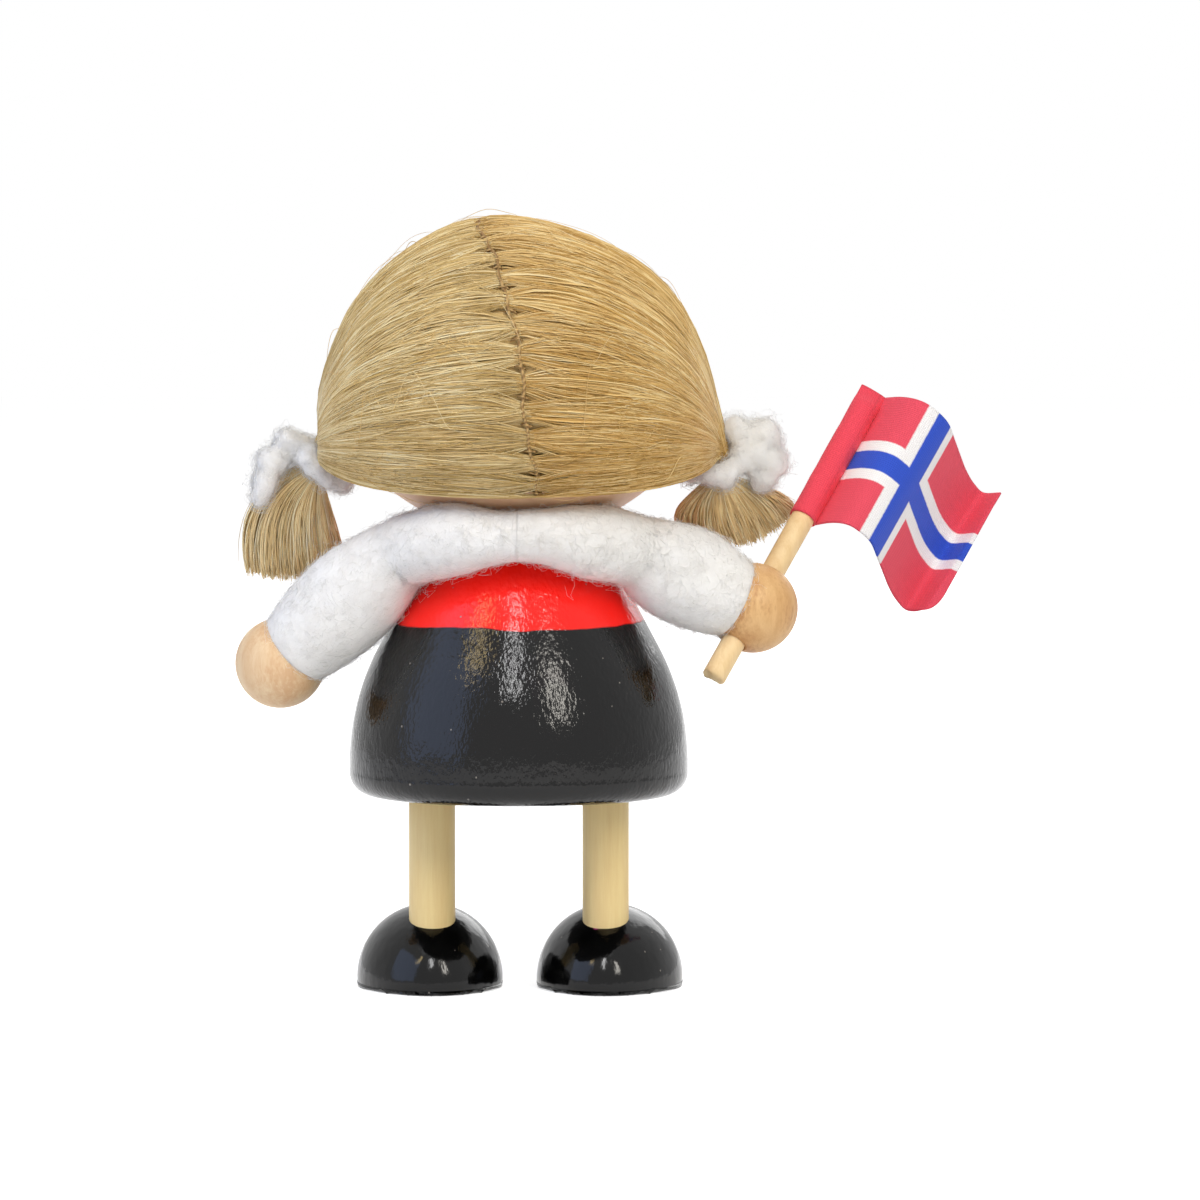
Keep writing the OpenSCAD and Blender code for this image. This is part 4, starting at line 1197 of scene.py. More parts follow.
    def bundle_strands(self, side: Side, count: int, rng: np.random.Generator, low: float, high: float,
                       stir: float) -> np.ndarray:
        """Paths of fibres from the seam to just before a gather.

        Args:
            side: which gather.
            count: number of fibres.
            rng: random numbers.
            low: lowest height over the cap's surface.
            high: highest height.
            stir: how far each fibre wanders, in degrees.

        Returns:
            Fibre by point by three.
        """
        width = (self.brow_phi - self.nape_phi) / self.bundles
        bundle = rng.integers(0, self.bundles, count)
        t = rng.uniform(-0.5, 0.5, count)
        s = np.linspace(0, 1, self.strand_points) ** 1.08
        a = -1.5 + (self.mouth_angle - 1.0) * s
        pinch = 1 - self.slit_share * np.exp(-(np.maximum(a, 0) / self.slit_angle) ** 2)
        clump = rng.normal(0, 0.9, (self.bundles * 4, 2))
        group = bundle * 4 + np.clip(((t + 0.5) * 4).astype(int), 0, 3)
        once, twice = np.sin(math.pi * s), np.sin(2 * math.pi * s)
        swing = clump[group, 0][:, None] * once + clump[group, 1][:, None] * twice
        own = rng.normal(0, stir, (count, 3))
        for k in range(3):
            swing = swing + own[:, k][:, None] / (k + 1) * np.sin(math.pi * (k + 1) * s)
        middle = self.nape_phi + (bundle + 0.5) * width
        phi = middle[:, None] + (t * width)[:, None] * pinch[None, :] + swing
        phi = np.clip(phi, self.nape(a)[None, :] + rng.uniform(-0.3, 0.5, count)[:, None], self.brow_phi - 0.3)
        crown = 0.22 * (1 - (2 * t) ** 4)[:, None] * np.exp(-(a / 25) ** 2)[None, :]
        tuck = 0.4 * np.exp(-(a / 2.2) ** 2)[None, :]
        height = rng.uniform(low, high, count)[:, None] - self.lower + crown - tuck
        turns, start = rng.uniform(2, 5, count)[:, None], rng.uniform(0, 6, count)[:, None]
        height = height + 0.1 * np.sin(math.pi * s * turns + start)
        return self.point(phi, side.value * a[None, :], height)

    def strays(self, rng: np.random.Generator, count: int) -> np.ndarray:
        """Paths of stray fibres that stand off the cap.

        Args:
            rng: random numbers.
            count: number of fibres.

        Returns:
            Fibre by point by three.
        """
        s = np.linspace(0, 1, 14)
        phi0 = rng.uniform(-15, 110, count)[:, None]
        a0 = rng.uniform(-70, 60, count)[:, None]
        span = rng.uniform(8, 30, count)[:, None] * rng.choice([-1, 1], count)[:, None]
        drift, sway = rng.normal(0, 9, count)[:, None], rng.normal(0, 3, count)[:, None]
        phi = phi0 + drift * s + sway * np.sin(2 * math.pi * s)
        lift = 0.35 - self.lower + rng.gamma(1.5, 0.35, count)[:, None] * np.sin(math.pi * s) ** 0.8
        return self.point(np.clip(phi, self.nape_phi, self.brow_phi), np.clip(a0 + span * s, -77, 77), lift)

    def loops(self, rng: np.random.Generator, count: int) -> np.ndarray:
        """Paths of pale loops that hang out of the lower right of the hair.

        Args:
            rng: random numbers.
            count: number of loops.

        Returns:
            Fibre by point by three.
        """
        s = np.linspace(0, 1, 14)
        top, side = rng.uniform(8, 18, count)[:, None], rng.uniform(-48, -26, count)[:, None]
        drop, sway = rng.uniform(10, 22, count)[:, None], rng.uniform(6, 13, count)[:, None]
        lift = 0.3 - self.lower + rng.uniform(0.4, 1.1, count)[:, None] * np.sin(math.pi * s)
        return self.point(top - drop * s, side + sway * (np.sin(math.pi * s) - s), lift)

    def build(self, flax: dict[Side, CombedFlax], ties: dict[Side, "Pigtail"]) -> None:
        """Builds the mat, the fibres of both sides and the strays.

        Args:
            flax: the finish of each side's hair.
            ties: the pigtail of each side, which the fibres run into.
        """
        self.mat_piece(flax[Side.LEFT])
        for side in Side:
            fibre = flax[side].material()
            rng = np.random.default_rng(self.seed + side.value)
            for layer, (count, low, high, radius, stir) in enumerate((
                    (self.strands, -0.45, 0.05, self.strand_r, 0.8),
                    (self.strands, -0.2, 0.25, 0.8 * self.strand_r, 0.9),
                    (self.fine_strands, 0.1, 0.36, 0.5 * self.strand_r, 2.0))):
                paths = self.bundle_strands(side, count, rng, low, high, stir)
                ends = ties[side].root_ends(paths, rng)
                group = Fibres(f"flax_fibres_{side.word}_{layer + 1}")
                group.add(np.concatenate([paths, ends], 1), radius * rng.lognormal(0, 0.35, count))
                settle(group.build(fibre), "torso", "flax")
        rng = np.random.default_rng(self.seed + 5)
        loose = Fibres("flax_strays")
        loose.add(self.strays(rng, 90), 0.035 * rng.lognormal(0, 0.25, 90))
        loose.add(self.loops(rng, 3), np.full(3, 0.04))
        settle(loose.build(fibre), "torso", "flax")

    def thread(self, finish: bpy.types.Material) -> bpy.types.Object:
        """The thread sewn down the parting, pulled in between the bundles.

        Args:
            finish: the thread's finish.

        Returns:
            The piece.
        """
        rng = np.random.default_rng(4)
        width = (self.brow_phi - self.nape_phi) / self.bundles
        phi = np.linspace(self.nape_phi + self.nape_lift + 0.6, self.brow_phi - 1, 260)
        pulled = np.cos(2 * math.pi * (phi - self.nape_phi) / width)
        sway = 0.5 * np.sin(phi * 0.21) + 0.35 * np.sin(phi * 0.57 + 1)
        line = self.point(phi, sway, 0.2 - self.lower - 0.12 * pulled)[None]
        sewn = Fibres("parting_sewing_thread")
        sewn.add(line, np.array([0.29]))
        knots = self.nape_phi + width * np.arange(1, self.bundles)
        knots = knots[knots > self.nape_phi + self.nape_lift]
        s = np.linspace(-1, 1, 9)
        for knot in knots:
            lies = knot + rng.uniform(-0.5, 0.5) * s + 0.2 * rng.normal()
            over = self.point(lies, 1.7 * s, 0.3 - self.lower - 0.7 * s * s)[None]
            sewn.add(over, np.array([0.2]))
        return settle(sewn.build(finish), "torso", "thread", "parting_thread")


@dataclass
class Pigtail:
    """One pigtail: fibres through its tie that fan out to the cut end."""

    side: Side
    tie: Vector
    axis: Vector
    end: Vector
    across: Vector
    half_w: float
    half_d: float
    hang: float
    flat: float
    open_share: float = 1.0
    root_r: float = 2.2
    root_half: float = 2.2
    strands: int = 1800
    seed: int = 21

    def frame(self) -> tuple[np.ndarray, ...]:
        """Directions at the root and at the cut end: axis, across, depth, and end across, depth, fall."""
        d = np.array(self.axis.normalized())
        across = np.array(self.across.normalized())
        u0 = unit(np.cross(np.cross(d, across), d))
        v0 = np.cross(d, u0)
        low = np.array(self.tie) + self.root_half * d
        fall = unit(np.array(self.end) - low)
        v1 = unit(np.cross(fall, across))
        return d, u0, v0, across, v1, np.cross(across, v1)

    def root_ends(self, paths: np.ndarray, rng: np.random.Generator) -> np.ndarray:
        """Last points of the cap's fibres, from where they end into the tie.

        Args:
            paths: the fibres of the cap.
            rng: random numbers.

        Returns:
            Fibre by point by three.
        """
        d, u0, v0, *_ = self.frame()
        start = paths[:, -1]
        tangent = unit(paths[:, -1] - paths[:, -2])
        count = len(start)
        # A fibre keeps to the side of the root that it comes from
        toward = start - np.array(self.tie)
        angle = np.arctan2(toward @ v0, toward @ u0) + rng.normal(0, 0.35, count)
        radius = self.root_r * np.sqrt(rng.uniform(0.35, 0.95, count))
        target = np.array(self.tie) + radius[:, None] * (np.cos(angle)[:, None] * u0 + np.sin(angle)[:, None] * v0)
        reach = np.linalg.norm(target - start, axis=1)[:, None]
        b = start + 0.4 * reach * tangent
        c = target - 0.45 * reach * d
        out = []
        for t in (0.22, 0.45, 0.7, 1.0):
            out.append((1 - t) ** 3 * start + 3 * (1 - t) ** 2 * t * b + 3 * (1 - t) * t * t * c + t ** 3 * target)
        out.append(target + 1.5 * d)
        return np.stack(out, 1)

    def fan(self, count: int, rng: np.random.Generator, rim: float = 0.0) -> np.ndarray:
        """Paths of the pigtail's fibres.

        Args:
            count: number of fibres.
            rng: random numbers.
            rim: least share of the radius, to keep fibres at the outside.

        Returns:
            Fibre by point by three.
        """
        d, u0, v0, across, v1, fall = self.frame()
        angle = rng.uniform(0, 2 * math.pi, count)
        share = np.sqrt(rng.uniform(rim, 1, count))
        cu, cv = share * np.cos(angle), share * np.sin(angle)
        tie, end = np.array(self.tie), np.array(self.end)
        top = tie - 0.6 * self.root_half * d + self.root_r * (cu[:, None] * u0 + cv[:, None] * v0)
        low = tie + self.root_half * d
        bend = low + np.linalg.norm(end - low) * d / 2
        hang = self.hang * (1 - self.flat * cu ** 2)
        tip = end + self.half_w * cu[:, None] * across + self.half_d * cv[:, None] * v1 \
            + (hang + rng.normal(0, 0.25, count) - 0.5 * np.abs(cv))[:, None] * fall
        mid = bend + self.open_share * self.half_w * cu[:, None] * (u0 + across) / 2 \
            + 0.8 * self.half_d * cv[:, None] * (v0 + v1) / 2
        s = np.linspace(0, 1, 13)[None, :, None]
        start = low + self.root_r * (cu[:, None] * u0 + cv[:, None] * v0)
        path = (1 - s) ** 2 * start[:, None] + 2 * (1 - s) * s * mid[:, None] + s * s * tip[:, None]
        wave = np.sin(math.pi * s * rng.uniform(1, 3, count)[:, None, None] + rng.uniform(0, 6, count)[:, None, None])
        drift = rng.normal(0, 0.22, (count, 1, 3))
        path = path + wave * drift * s
        return np.concatenate([top[:, None], path], 1)

    def core(self, mat: bpy.types.Material) -> bpy.types.Object:
        """The dense middle of the pigtail.

        Args:
            mat: the finish of the hair below its loose fibres.

        Returns:
            The piece, which stands for the pigtail.
        """
        d, u0, v0, across, v1, fall = (Vector(v) for v in self.frame())
        low = self.tie + self.root_half * d
        bend = low + (self.end - low).length * d / 2
        stations = [Station(self.tie - 0.5 * self.root_half * d, u0, v0, 0.8 * self.root_r, 0.8 * self.root_r)]
        for i in range(13):
            t = i / 12
            centre = low.lerp(bend, t).lerp(bend.lerp(self.end, t), t)
            u = u0.lerp(across, t).normalized()
            v = v0.lerp(v1, t)
            v = (v - v.dot(u) * u).normalized()
            stations.append(Station(centre, u, v, 0.84 * (self.root_r + (self.half_w - self.root_r) * t ** 0.7),
                                    0.8 * (self.root_r + (self.half_d - self.root_r) * t)))
        stations.append(Station(self.end + 0.45 * self.hang * fall, across, v1, 0.6 * self.half_w, 0.6 * self.half_d))
        mesh = sweep(stations, 40)
        layer = mesh.loops.layers.uv.new("UVMap")
        low_z = min(v.co.z for v in mesh.verts)
        for face in mesh.faces:
            for loop in face.loops:
                off = loop.vert.co - self.tie
                loop[layer].uv = (0.2 + 0.02 * (loop.vert.co.z - low_z), 0.5 + 0.02 * off.dot(across))
        piece = keep_mesh(mesh, f"pigtail_core_{self.side.word}", mat)
        return settle(piece, "torso", "flax", f"pigtail_{self.side.word}")

    def build(self, flax: CombedFlax, mat: bpy.types.Material) -> None:
        """Builds the core and the fibres.

        Args:
            flax: the hair's finish.
            mat: the finish of the hair below its loose fibres.
        """
        self.core(mat)
        rng = np.random.default_rng(self.seed + self.side.value)
        group = Fibres(f"pigtail_fibres_{self.side.word}")
        group.add(self.fan(self.strands, rng, 0.3), 0.08 * rng.lognormal(0, 0.35, self.strands))
        loose = self.fan(24, rng, 0.8)
        s = np.linspace(0, 1, loose.shape[1])[None, :, None]
        group.add(loose + rng.normal(0, 0.9, (24, 1, 3)) * s ** 1.5 * np.array([1, 0.4, 0.6]),
                  0.05 * np.ones(24))
        settle(group.build(flax.material()), "torso", "flax")


# Wool: felt sleeves and hair ties


def nap(points: np.ndarray, normals: np.ndarray, count: int, rng: np.random.Generator, length: float,
        lift: float, curl: float) -> np.ndarray:
    """Paths of loose fibres on a woolly surface.

    Args:
        points: places on the surface.
        normals: outward directions there.
        count: number of fibres.
        rng: random numbers.
        length: mean length of a fibre.
        lift: how far its middle stands off.
        curl: how far it curls.

    Returns:
        Fibre by point by three.
    """
    pick = rng.integers(0, len(points), count)
    base, out = points[pick], normals[pick]
    along = unit(np.cross(out, rng.normal(0, 1, (count, 3))))
    side = np.cross(out, along)
    long = length * rng.lognormal(0, 0.4, count)
    s = np.linspace(-0.5, 0.5, 6)[None, :, None]
    high = lift * rng.gamma(2.0, 0.5, count)[:, None, None]
    bend = curl * rng.normal(0, 1, count)[:, None, None]
    wave = curl * 0.5 * rng.normal(0, 1, count)[:, None, None]
    path = base[:, None] + long[:, None, None] * s * along[:, None]
    path = path + (4 * s * s - 1) * bend * side[:, None] + wave * np.sin(4 * math.pi * s) * side[:, None]
    tip = rng.normal(0, 0.5, count)[:, None, None]
    return path + out[:, None] * (high * (1 - 4 * s * s) + high * tip * (s + 0.5) - 0.08)


def surface_samples(piece: bpy.types.Object) -> tuple[np.ndarray, np.ndarray]:
    """Middles and normals of a piece's faces.

    Args:
        piece: a mesh object.

    Returns:
        The middles, in millimetres round the axis, and the normals.
    """
    count = len(piece.data.polygons)
    centres, normals = np.zeros(count * 3), np.zeros(count * 3)
    piece.data.polygons.foreach_get("center", centres)
    piece.data.polygons.foreach_get("normal", normals)
    middle = (centres.reshape(-1, 3) - np.array(PLACES.axis)) / MM
    return middle, normals.reshape(-1, 3)


@dataclass
class Sleeve:
    """Half of the felt tube: from the middle of the back over a shoulder to a cuff, on its wire."""

    side: Side
    swell: float
    back: Vector = field(default_factory=lambda: Vector((0.0, 16.1, 61.5)))
    back_half_h: float = 3.3
    back_half_d: float = 3.0
    yaw: float = 33.0
    droop: float = 20.0
    lead: float = 5.6
    level_share: float = 0.4
    shoulder_r: float = 4.75
    cuff_r: float = 5.45
    seat_r: float = 6.2
    wire_r: float = 0.75
    fuzz: int = 4400
    seed: int = 31

    @property
    def shoulder(self) -> Vector:
        """The point that the arm bends at."""
        return PLACES.shoulders[self.side]

    @property
    def hand(self) -> Vector:
        """Middle of the bead hand."""
        return PLACES.hands[self.side]

    @property
    def body(self) -> str:
        """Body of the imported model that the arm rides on."""
        return f"arm_{self.side.word}"

    def path(self, steps: int = 56) -> list[tuple[Vector, float]]:
        """Middle line from the back to the cuff.

        Args:
            steps: number of steps.

        Returns:
            Points and their shares of the way, below 1 behind the shoulder and up to 2 at the cuff.
        """
        yaw, droop = math.radians(self.yaw), math.radians(self.droop)
        way = Vector((self.side.value * math.cos(yaw) * math.cos(droop), -math.sin(yaw) * math.cos(droop),
                      -math.sin(droop)))
        a, d = self.shoulder, self.back
        b = a - self.lead * way
        c = d + Vector((self.side.value * self.level_share * abs(a.x), 0, 0))
        arm = (self.hand - a).normalized()
        far = (self.hand - a).length - math.sqrt(self.seat_r ** 2 - (self.cuff_r - 0.35) ** 2)
        points: list[tuple[Vector, float]] = []
        for i in range(steps):
            t = 2 * i / (steps - 1)
            if t <= 1:
                k = 1 - t
                spot = (1 - k) ** 3 * a + 3 * (1 - k) ** 2 * k * b + 3 * (1 - k) * k * k * c + k ** 3 * d
            else:
                spot = a + (t - 1) * far * arm
            points.append((spot, t))
        smooth = [p for p, _ in points]
        for _ in range(8):
            smooth = [smooth[0], *[(p + 2 * q + r) / 4 for p, q, r in zip(smooth, smooth[1:], smooth[2:])],
                      smooth[-1]]
        return [(p, t) for p, (_, t) in zip(smooth, points)]

    def stations(self) -> list[Station]:
        """Rings of the felt."""
        line = self.path()
        out = []
        for i, (spot, t) in enumerate(line):
            ahead = line[min(i + 1, len(line) - 1)][0] - line[max(i - 1, 0)][0]
            d = ahead.normalized() if i else Vector((self.side.value, 0, 0))
            v = d.cross(Vector((0, 0, 1))).normalized() if t <= 1 else Vector((0, 1, 0)).cross(d).cross(d)
            v = (v - v.dot(d) * d).normalized()
            if v.y < 0:
                v = -v
            u = v.cross(d).normalized()
            if t <= 1:
                k = t * t * (3 - 2 * t)
                bulge = 0.7 * math.sin(math.pi * t) ** 2
                half_u = self.back_half_h + (self.shoulder_r - self.back_half_h) * k + bulge
                half_v = self.back_half_d + (self.shoulder_r - self.back_half_d) * k + bulge / 2
            else:
                k = t - 1
                bulge = self.swell * math.sin(math.pi * k) ** 0.9
                half_u = self.shoulder_r + (self.cuff_r - self.shoulder_r) * k + bulge
                half_v = self.shoulder_r + (self.cuff_r - self.shoulder_r) * k + bulge / 4
            out.append(Station(spot, u, v, half_u, half_v))
        last = out[-1]
        arm = (self.hand - self.shoulder).normalized()
        for step, share in ((0.45, 0.985), (0.75, 0.95), (0.8, 0.9), (0.45, 0.86), (-0.6, 0.82)):
            out.append(Station(last.centre + step * arm, last.u, last.v, share * last.half_u, share * last.half_v))
        return out

    def bend(self, piece: bpy.types.Object, slot: str, *nodes: str) -> bpy.types.Object:
        """Bakes a piece's place into its mesh and hides the nodes that it replaces.

        Args:
            piece: the finished piece.
            slot: material slot of the record; not used.
            *nodes: nodes that it replaces.

        Returns:
            The piece.
        """
        arm = (self.hand - self.shoulder).normalized()
        way = Vector((arm.x, 0, 0)).normalized()
        start, end = self.shoulder - 3.5 * way, self.shoulder + 4.5 * way
        self.body
        tuple(PLACES.row(start))
        tuple(PLACES.row(end))
        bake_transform(piece)
        if nodes:
            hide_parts(*nodes)
        LOG.info("%s bends between torso and %s, %d faces", piece.name, self.body, len(piece.data.polygons))
        return piece

    def build(self, felt: Wool, wire: bpy.types.Material, nodes: tuple[str, ...], wire_nodes: tuple[str, ...]) -> None:
        """Builds the felt, its nap and its half of the wire.

        Args:
            felt: the felt's finish.
            wire: the wire's finish.
            nodes: nodes that the felt replaces.
            wire_nodes: nodes that the wire replaces.
        """
        mesh = sweep(self.stations(), 72, open_start=True)
        roughen(mesh, 6.0, 0.28)
        roughen(mesh, 1.8, 0.04)
        rim = [e for e in mesh.edges if e.is_boundary]
        for edge in rim:
            edge.smooth = False
            for vertex in edge.verts:
                vertex.co.x = 0
        bmesh.ops.contextual_create(mesh, geom=rim)
        bmesh.ops.recalc_face_normals(mesh, faces=mesh.faces)
        piece = keep_mesh(mesh, f"felt_sleeve_{self.side.word}", felt.material())
        points, normals = surface_samples(piece)
        rng = np.random.default_rng(self.seed + self.side.value)
        fuzz = Fibres(f"felt_nap_{self.side.word}")
        fuzz.add(nap(points, normals, self.fuzz, rng, 1.7, 0.27, 0.4), 0.016 * rng.lognormal(0, 0.2, self.fuzz))
        low = points[:, 2] < 59
        fuzz.add(nap(points[low], normals[low], 70, rng, 4.0, 0.9, 1.1), 0.013 * np.ones(70))
        self.bend(piece, "felt", *nodes)
        self.bend(fuzz.build(felt.fibre()), "felt")
        inside = 3.8
        rings = self.stations()[:56]
        line = [Station(r.centre, r.u, r.v, self.wire_r, self.wire_r) for r in rings]
        arm = (self.hand - self.shoulder).normalized()
        line.append(Station(self.hand - inside * arm, rings[-1].u, rings[-1].v, self.wire_r, self.wire_r))
        rod = keep_mesh(sweep(line, 12), f"arm_wire_{self.side.word}", wire)
        self.bend(rod, "wire", *wire_nodes)


@dataclass
class BeadHand:
    """A bead hand, drilled through where something goes through it."""

    side: Side
    radius: float = 6.0
    bore_r: float = 1.65

    def build(self, wood: bpy.types.Material) -> bpy.types.Object:
        """Turns the bead.

        Args:
            wood: the bare wood of the beads.

        Returns:
            The hand.
        """
        centre = PLACES.hands[self.side]
        if self.side is Side.RIGHT:
            half = math.degrees(math.asin((self.bore_r + 0.12) / self.radius))
            edge = math.sqrt(self.radius ** 2 - self.bore_r ** 2) - 0.25
            outside = arc((0, 0), self.radius, -90 + half, 90 - half, 64)
            profile = [(self.bore_r, -edge), *outside, (self.bore_r, edge), (self.bore_r, 0), (self.bore_r, -edge)]
            mesh = spin_profile(profile, 96)
            bmesh.ops.transform(mesh, matrix=turn_to(PLACES.stick, centre), verts=mesh.verts)
        else:
            mesh = bmesh.new()
            bmesh.ops.create_uvsphere(mesh, u_segments=96, v_segments=48, radius=self.radius)
            arm = PLACES.hands[self.side] - PLACES.shoulders[self.side]
            bmesh.ops.transform(mesh, matrix=turn_to(arm, centre), verts=mesh.verts)
        piece = keep_mesh(mesh, f"bead_hand_{self.side.word}", wood)
        return settle(piece, f"arm_{self.side.word}", "bead_wood", f"hand_{self.side.word}")


@dataclass
class HairTie:
    """A turn of loosely spun wool round a pigtail, with its fluffy knot and end."""

    side: Side
    centre: Vector
    axis: Vector
    lumps: tuple[tuple[float, float, float, float], ...]
    root_r: float = 2.26
    yarn_r: float = 1.3
    lump_r: float = 2.2
    fuzz: int = 2600
    seed: int = 51

    def build(self, yarn: Wool) -> None:
        """Builds the wool and its loose fibres.

        Args:
            yarn: the wool's finish.
        """
        mesh = bmesh.new()
        ring = bmesh.ops.create_circle(
            mesh, segments=20, radius=self.yarn_r,
            matrix=Matrix.Translation((self.root_r + self.yarn_r, 0, 0)) @ Matrix.Rotation(math.pi / 2, 4, "X"))
        geometry = [*ring["verts"], *{e for v in ring["verts"] for e in v.link_edges}]
        bmesh.ops.spin(mesh, geom=geometry, cent=(0, 0, 0), axis=(0, 0, 1), angle=2 * math.pi, steps=40,
                       use_merge=True)
        bmesh.ops.remove_doubles(mesh, verts=mesh.verts, dist=1e-4)
        bmesh.ops.transform(mesh, matrix=turn_to(self.axis, self.centre), verts=mesh.verts)
        for x, y, z, share in self.lumps:
            spot = self.centre + self.lump_r * Vector((x, y, z))
            bmesh.ops.create_icosphere(mesh, subdivisions=3, radius=self.lump_r * share,
                                       matrix=Matrix.Translation(spot))
        bmesh.ops.recalc_face_normals(mesh, faces=mesh.faces)
        piece = keep_mesh(mesh, f"wool_tie_{self.side.word}", yarn.material())
        remesh = piece.modifiers.new("one_skin", "REMESH")
        remesh.mode = "VOXEL"
        remesh.voxel_size = 0.28 * MM
        remesh.use_smooth_shade = True
        relax = piece.modifiers.new("relax", "SMOOTH")
        relax.factor = 0.6
        relax.iterations = 22
        apply_modifiers(piece)
        whole = bmesh.new()
        whole.from_mesh(piece.data)
        for size, depth in ((2.0, 0.45), (0.9, 0.14)):
            whole.normal_update()
            moves = [(v, v.normal * depth * MM * noise.noise(v.co / (size * MM))) for v in whole.verts]
            for vertex, move in moves:
                vertex.co += move
        whole.to_mesh(piece.data)
        whole.free()
        points, normals = surface_samples(piece)
        rng = np.random.default_rng(self.seed + self.side.value)
        fuzz = Fibres(f"wool_fluff_{self.side.word}")
        fuzz.add(nap(points, normals, self.fuzz, rng, 1.8, 0.42, 0.6), 0.017 * rng.lognormal(0, 0.2, self.fuzz))
        settle(piece, "torso", "yarn", f"hair_tie_{self.side.word}")
        settle(fuzz.build(yarn.fibre()), "torso", "yarn")


# Flag


@dataclass
class HandFlag:
    """The flag stick and the printed cloth that is glued round it by its hem."""

    stick_r: float = 1.6
    below: float = 11.9
    above: float = 36.9
    hoist: float = 21.8
    reach: float = 22.0
    wave: float = 5.2
    hem_r: float = 1.9
    flat_top: float = 3.2
    lean: float = 30.6
    forward: float = 27.0
    cloth: float = 0.24
    wave_shares: tuple[tuple[float, float], ...] = (
        (0, 0), (0.08, 0.5), (0.2, 0.9), (0.34, 0.86), (0.44, 0.58), (0.53, 0.0), (0.62, -0.6), (0.72, -1.25),
        (0.82, -1.72), (0.91, -1.9), (1, -1.4))
    fly_short: float = 0.06
    slack: float = 0.4
    skew: float = 0.065
    corner: float = 0.09
    corner_height: float = 0.17

    def directions(self) -> tuple[np.ndarray, np.ndarray]:
        """Directions of the fly and of the waves."""
        lean, forward = math.radians(self.lean), math.radians(self.forward)
        fly = np.array([-math.cos(lean), 0, -math.sin(lean)])
        wave = np.array([-math.sin(forward) * math.sin(lean), math.cos(forward), math.sin(forward) * math.cos(lean)])
        return fly, wave

    def edge(self, share: np.ndarray, ahead: np.ndarray | float = 0.0) -> np.ndarray:
        """Points of the cloth's upper edge, for shares of the way to the fly.

        Args:
            share: shares of the way.
            ahead: how far the wave there is ahead of the one at the upper edge.

        Returns:
            The points.
        """
        fly, wave = self.directions()
        top = np.array(PLACES.hands[Side.RIGHT] + self.above * PLACES.stick)
        along = (self.hem_r - self.cloth / 2) + share * (self.reach + self.slack - self.hem_r)
        depth = self.wave * curve_table(self.wave_shares, share + ahead)
        return top + along[:, None] * fly + depth[:, None] * wave

    def stick(self, wood: bpy.types.Material) -> bpy.types.Object:
        """Turns the stick, with a rough cut at its lower end.

        Args:
            wood: the bare wood of the dowels.

        Returns:
            The stick.
        """
        r, high = self.stick_r, self.above - self.flat_top
        mesh = spin_profile([(0, -self.below), (r - 0.3, -self.below), (r, -self.below + 0.3),
                             *[(r, h) for h in np.linspace(-self.below + 1.2, high - 1.2, 30)],
                             (r, high - 0.3), (r - 0.3, high), (0, high)], 48)
        for vertex in mesh.verts:
            if vertex.co.z < -self.below + 0.5:
                vertex.co.z += 0.45 * (noise.noise(vertex.co * 0.9) + 0.6) * (1 if vertex.co.xy.length < r else 0.6)
        bmesh.ops.transform(mesh, matrix=turn_to(PLACES.stick, PLACES.hands[Side.RIGHT]), verts=mesh.verts)
        return settle(keep_mesh(mesh, "flag_dowel", wood), "flag", "dowel_wood", "flag_stick")

    def sheet(self, print_finish: bpy.types.Material) -> bpy.types.Object:
        """Hangs the cloth in its waves.

        Args:
            print_finish: the printed cotton.

        Returns:
            The cloth.
        """
        columns, rows = 120, 64
        mesh = bmesh.new()
        bmesh.ops.create_grid(mesh, x_segments=columns, y_segments=rows, size=0.5)
        fine = np.linspace(0, 1, 400)
        edge = self.edge(fine)
        lengths = np.concatenate([[0], np.cumsum(np.linalg.norm(np.diff(edge, axis=0), axis=1))])
        flat = np.array([v.co for v in mesh.verts])
        s, v = flat[:, 0] + 0.5, flat[:, 1] + 0.5
        under = np.clip(1 - v / self.corner_height, 0, 1)
        s = s * (1 - self.corner * (1 - np.sqrt(1 - under ** 2)))
        down = -self.hoist * np.array(PLACES.stick)
        _, wave = self.directions()
        ahead = self.skew * (1 - v) * np.minimum(1, 4 * s)
        spots = self.edge(s, ahead) + ((1 - v) * (1 - self.fly_short * s))[:, None] * down
        ripple = 0.35 * np.sin(5.2 * s + 3.1 * v) * s + 0.5 * (v - 0.5) * s ** 2
        spots = spots + ripple[:, None] * wave
        along = np.interp(s, fine, lengths)
        layer = mesh.loops.layers.uv.new("UVMap")
        for face in mesh.faces:
            for loop in face.loops:
                i = loop.vert.index
                loop[layer].uv = (along[i], v[i] * self.hoist)
        for vertex, spot in zip(mesh.verts, spots):
            vertex.co = spot
        piece = keep_mesh(mesh, "flag_cloth", print_finish)
        wall = piece.modifiers.new("cloth", "SOLIDIFY")
        wall.thickness = self.cloth * MM
        wall.offset = 0
        apply_modifiers(piece)
        settle(piece, "flag", "flag_cloth", "flag")
        return piece

    def hem(self, red: bpy.types.Material) -> bpy.types.Object:
        """Wraps the hem round the stick.

        Args:
            red: the cloth's finish.

        Returns:
            The hem.
        """
        low, high, thick = self.above - self.hoist, self.above, 0.25
        profile = [(self.hem_r - thick, low), (self.hem_r, low), *[
            (self.hem_r, h) for h in np.linspace(low + 0.5, high - 0.5, 24)],
            (self.hem_r, high), (self.hem_r - thick, high), (self.hem_r - thick, low)]
        mesh = spin_profile(profile, 48)
        layer = mesh.loops.layers.uv.new("UVMap")
        for face in mesh.faces:
            for loop in face.loops:
                angle = math.atan2(loop.vert.co.y, loop.vert.co.x)
                loop[layer].uv = (angle * self.hem_r - 60, loop.vert.co.z - 100)
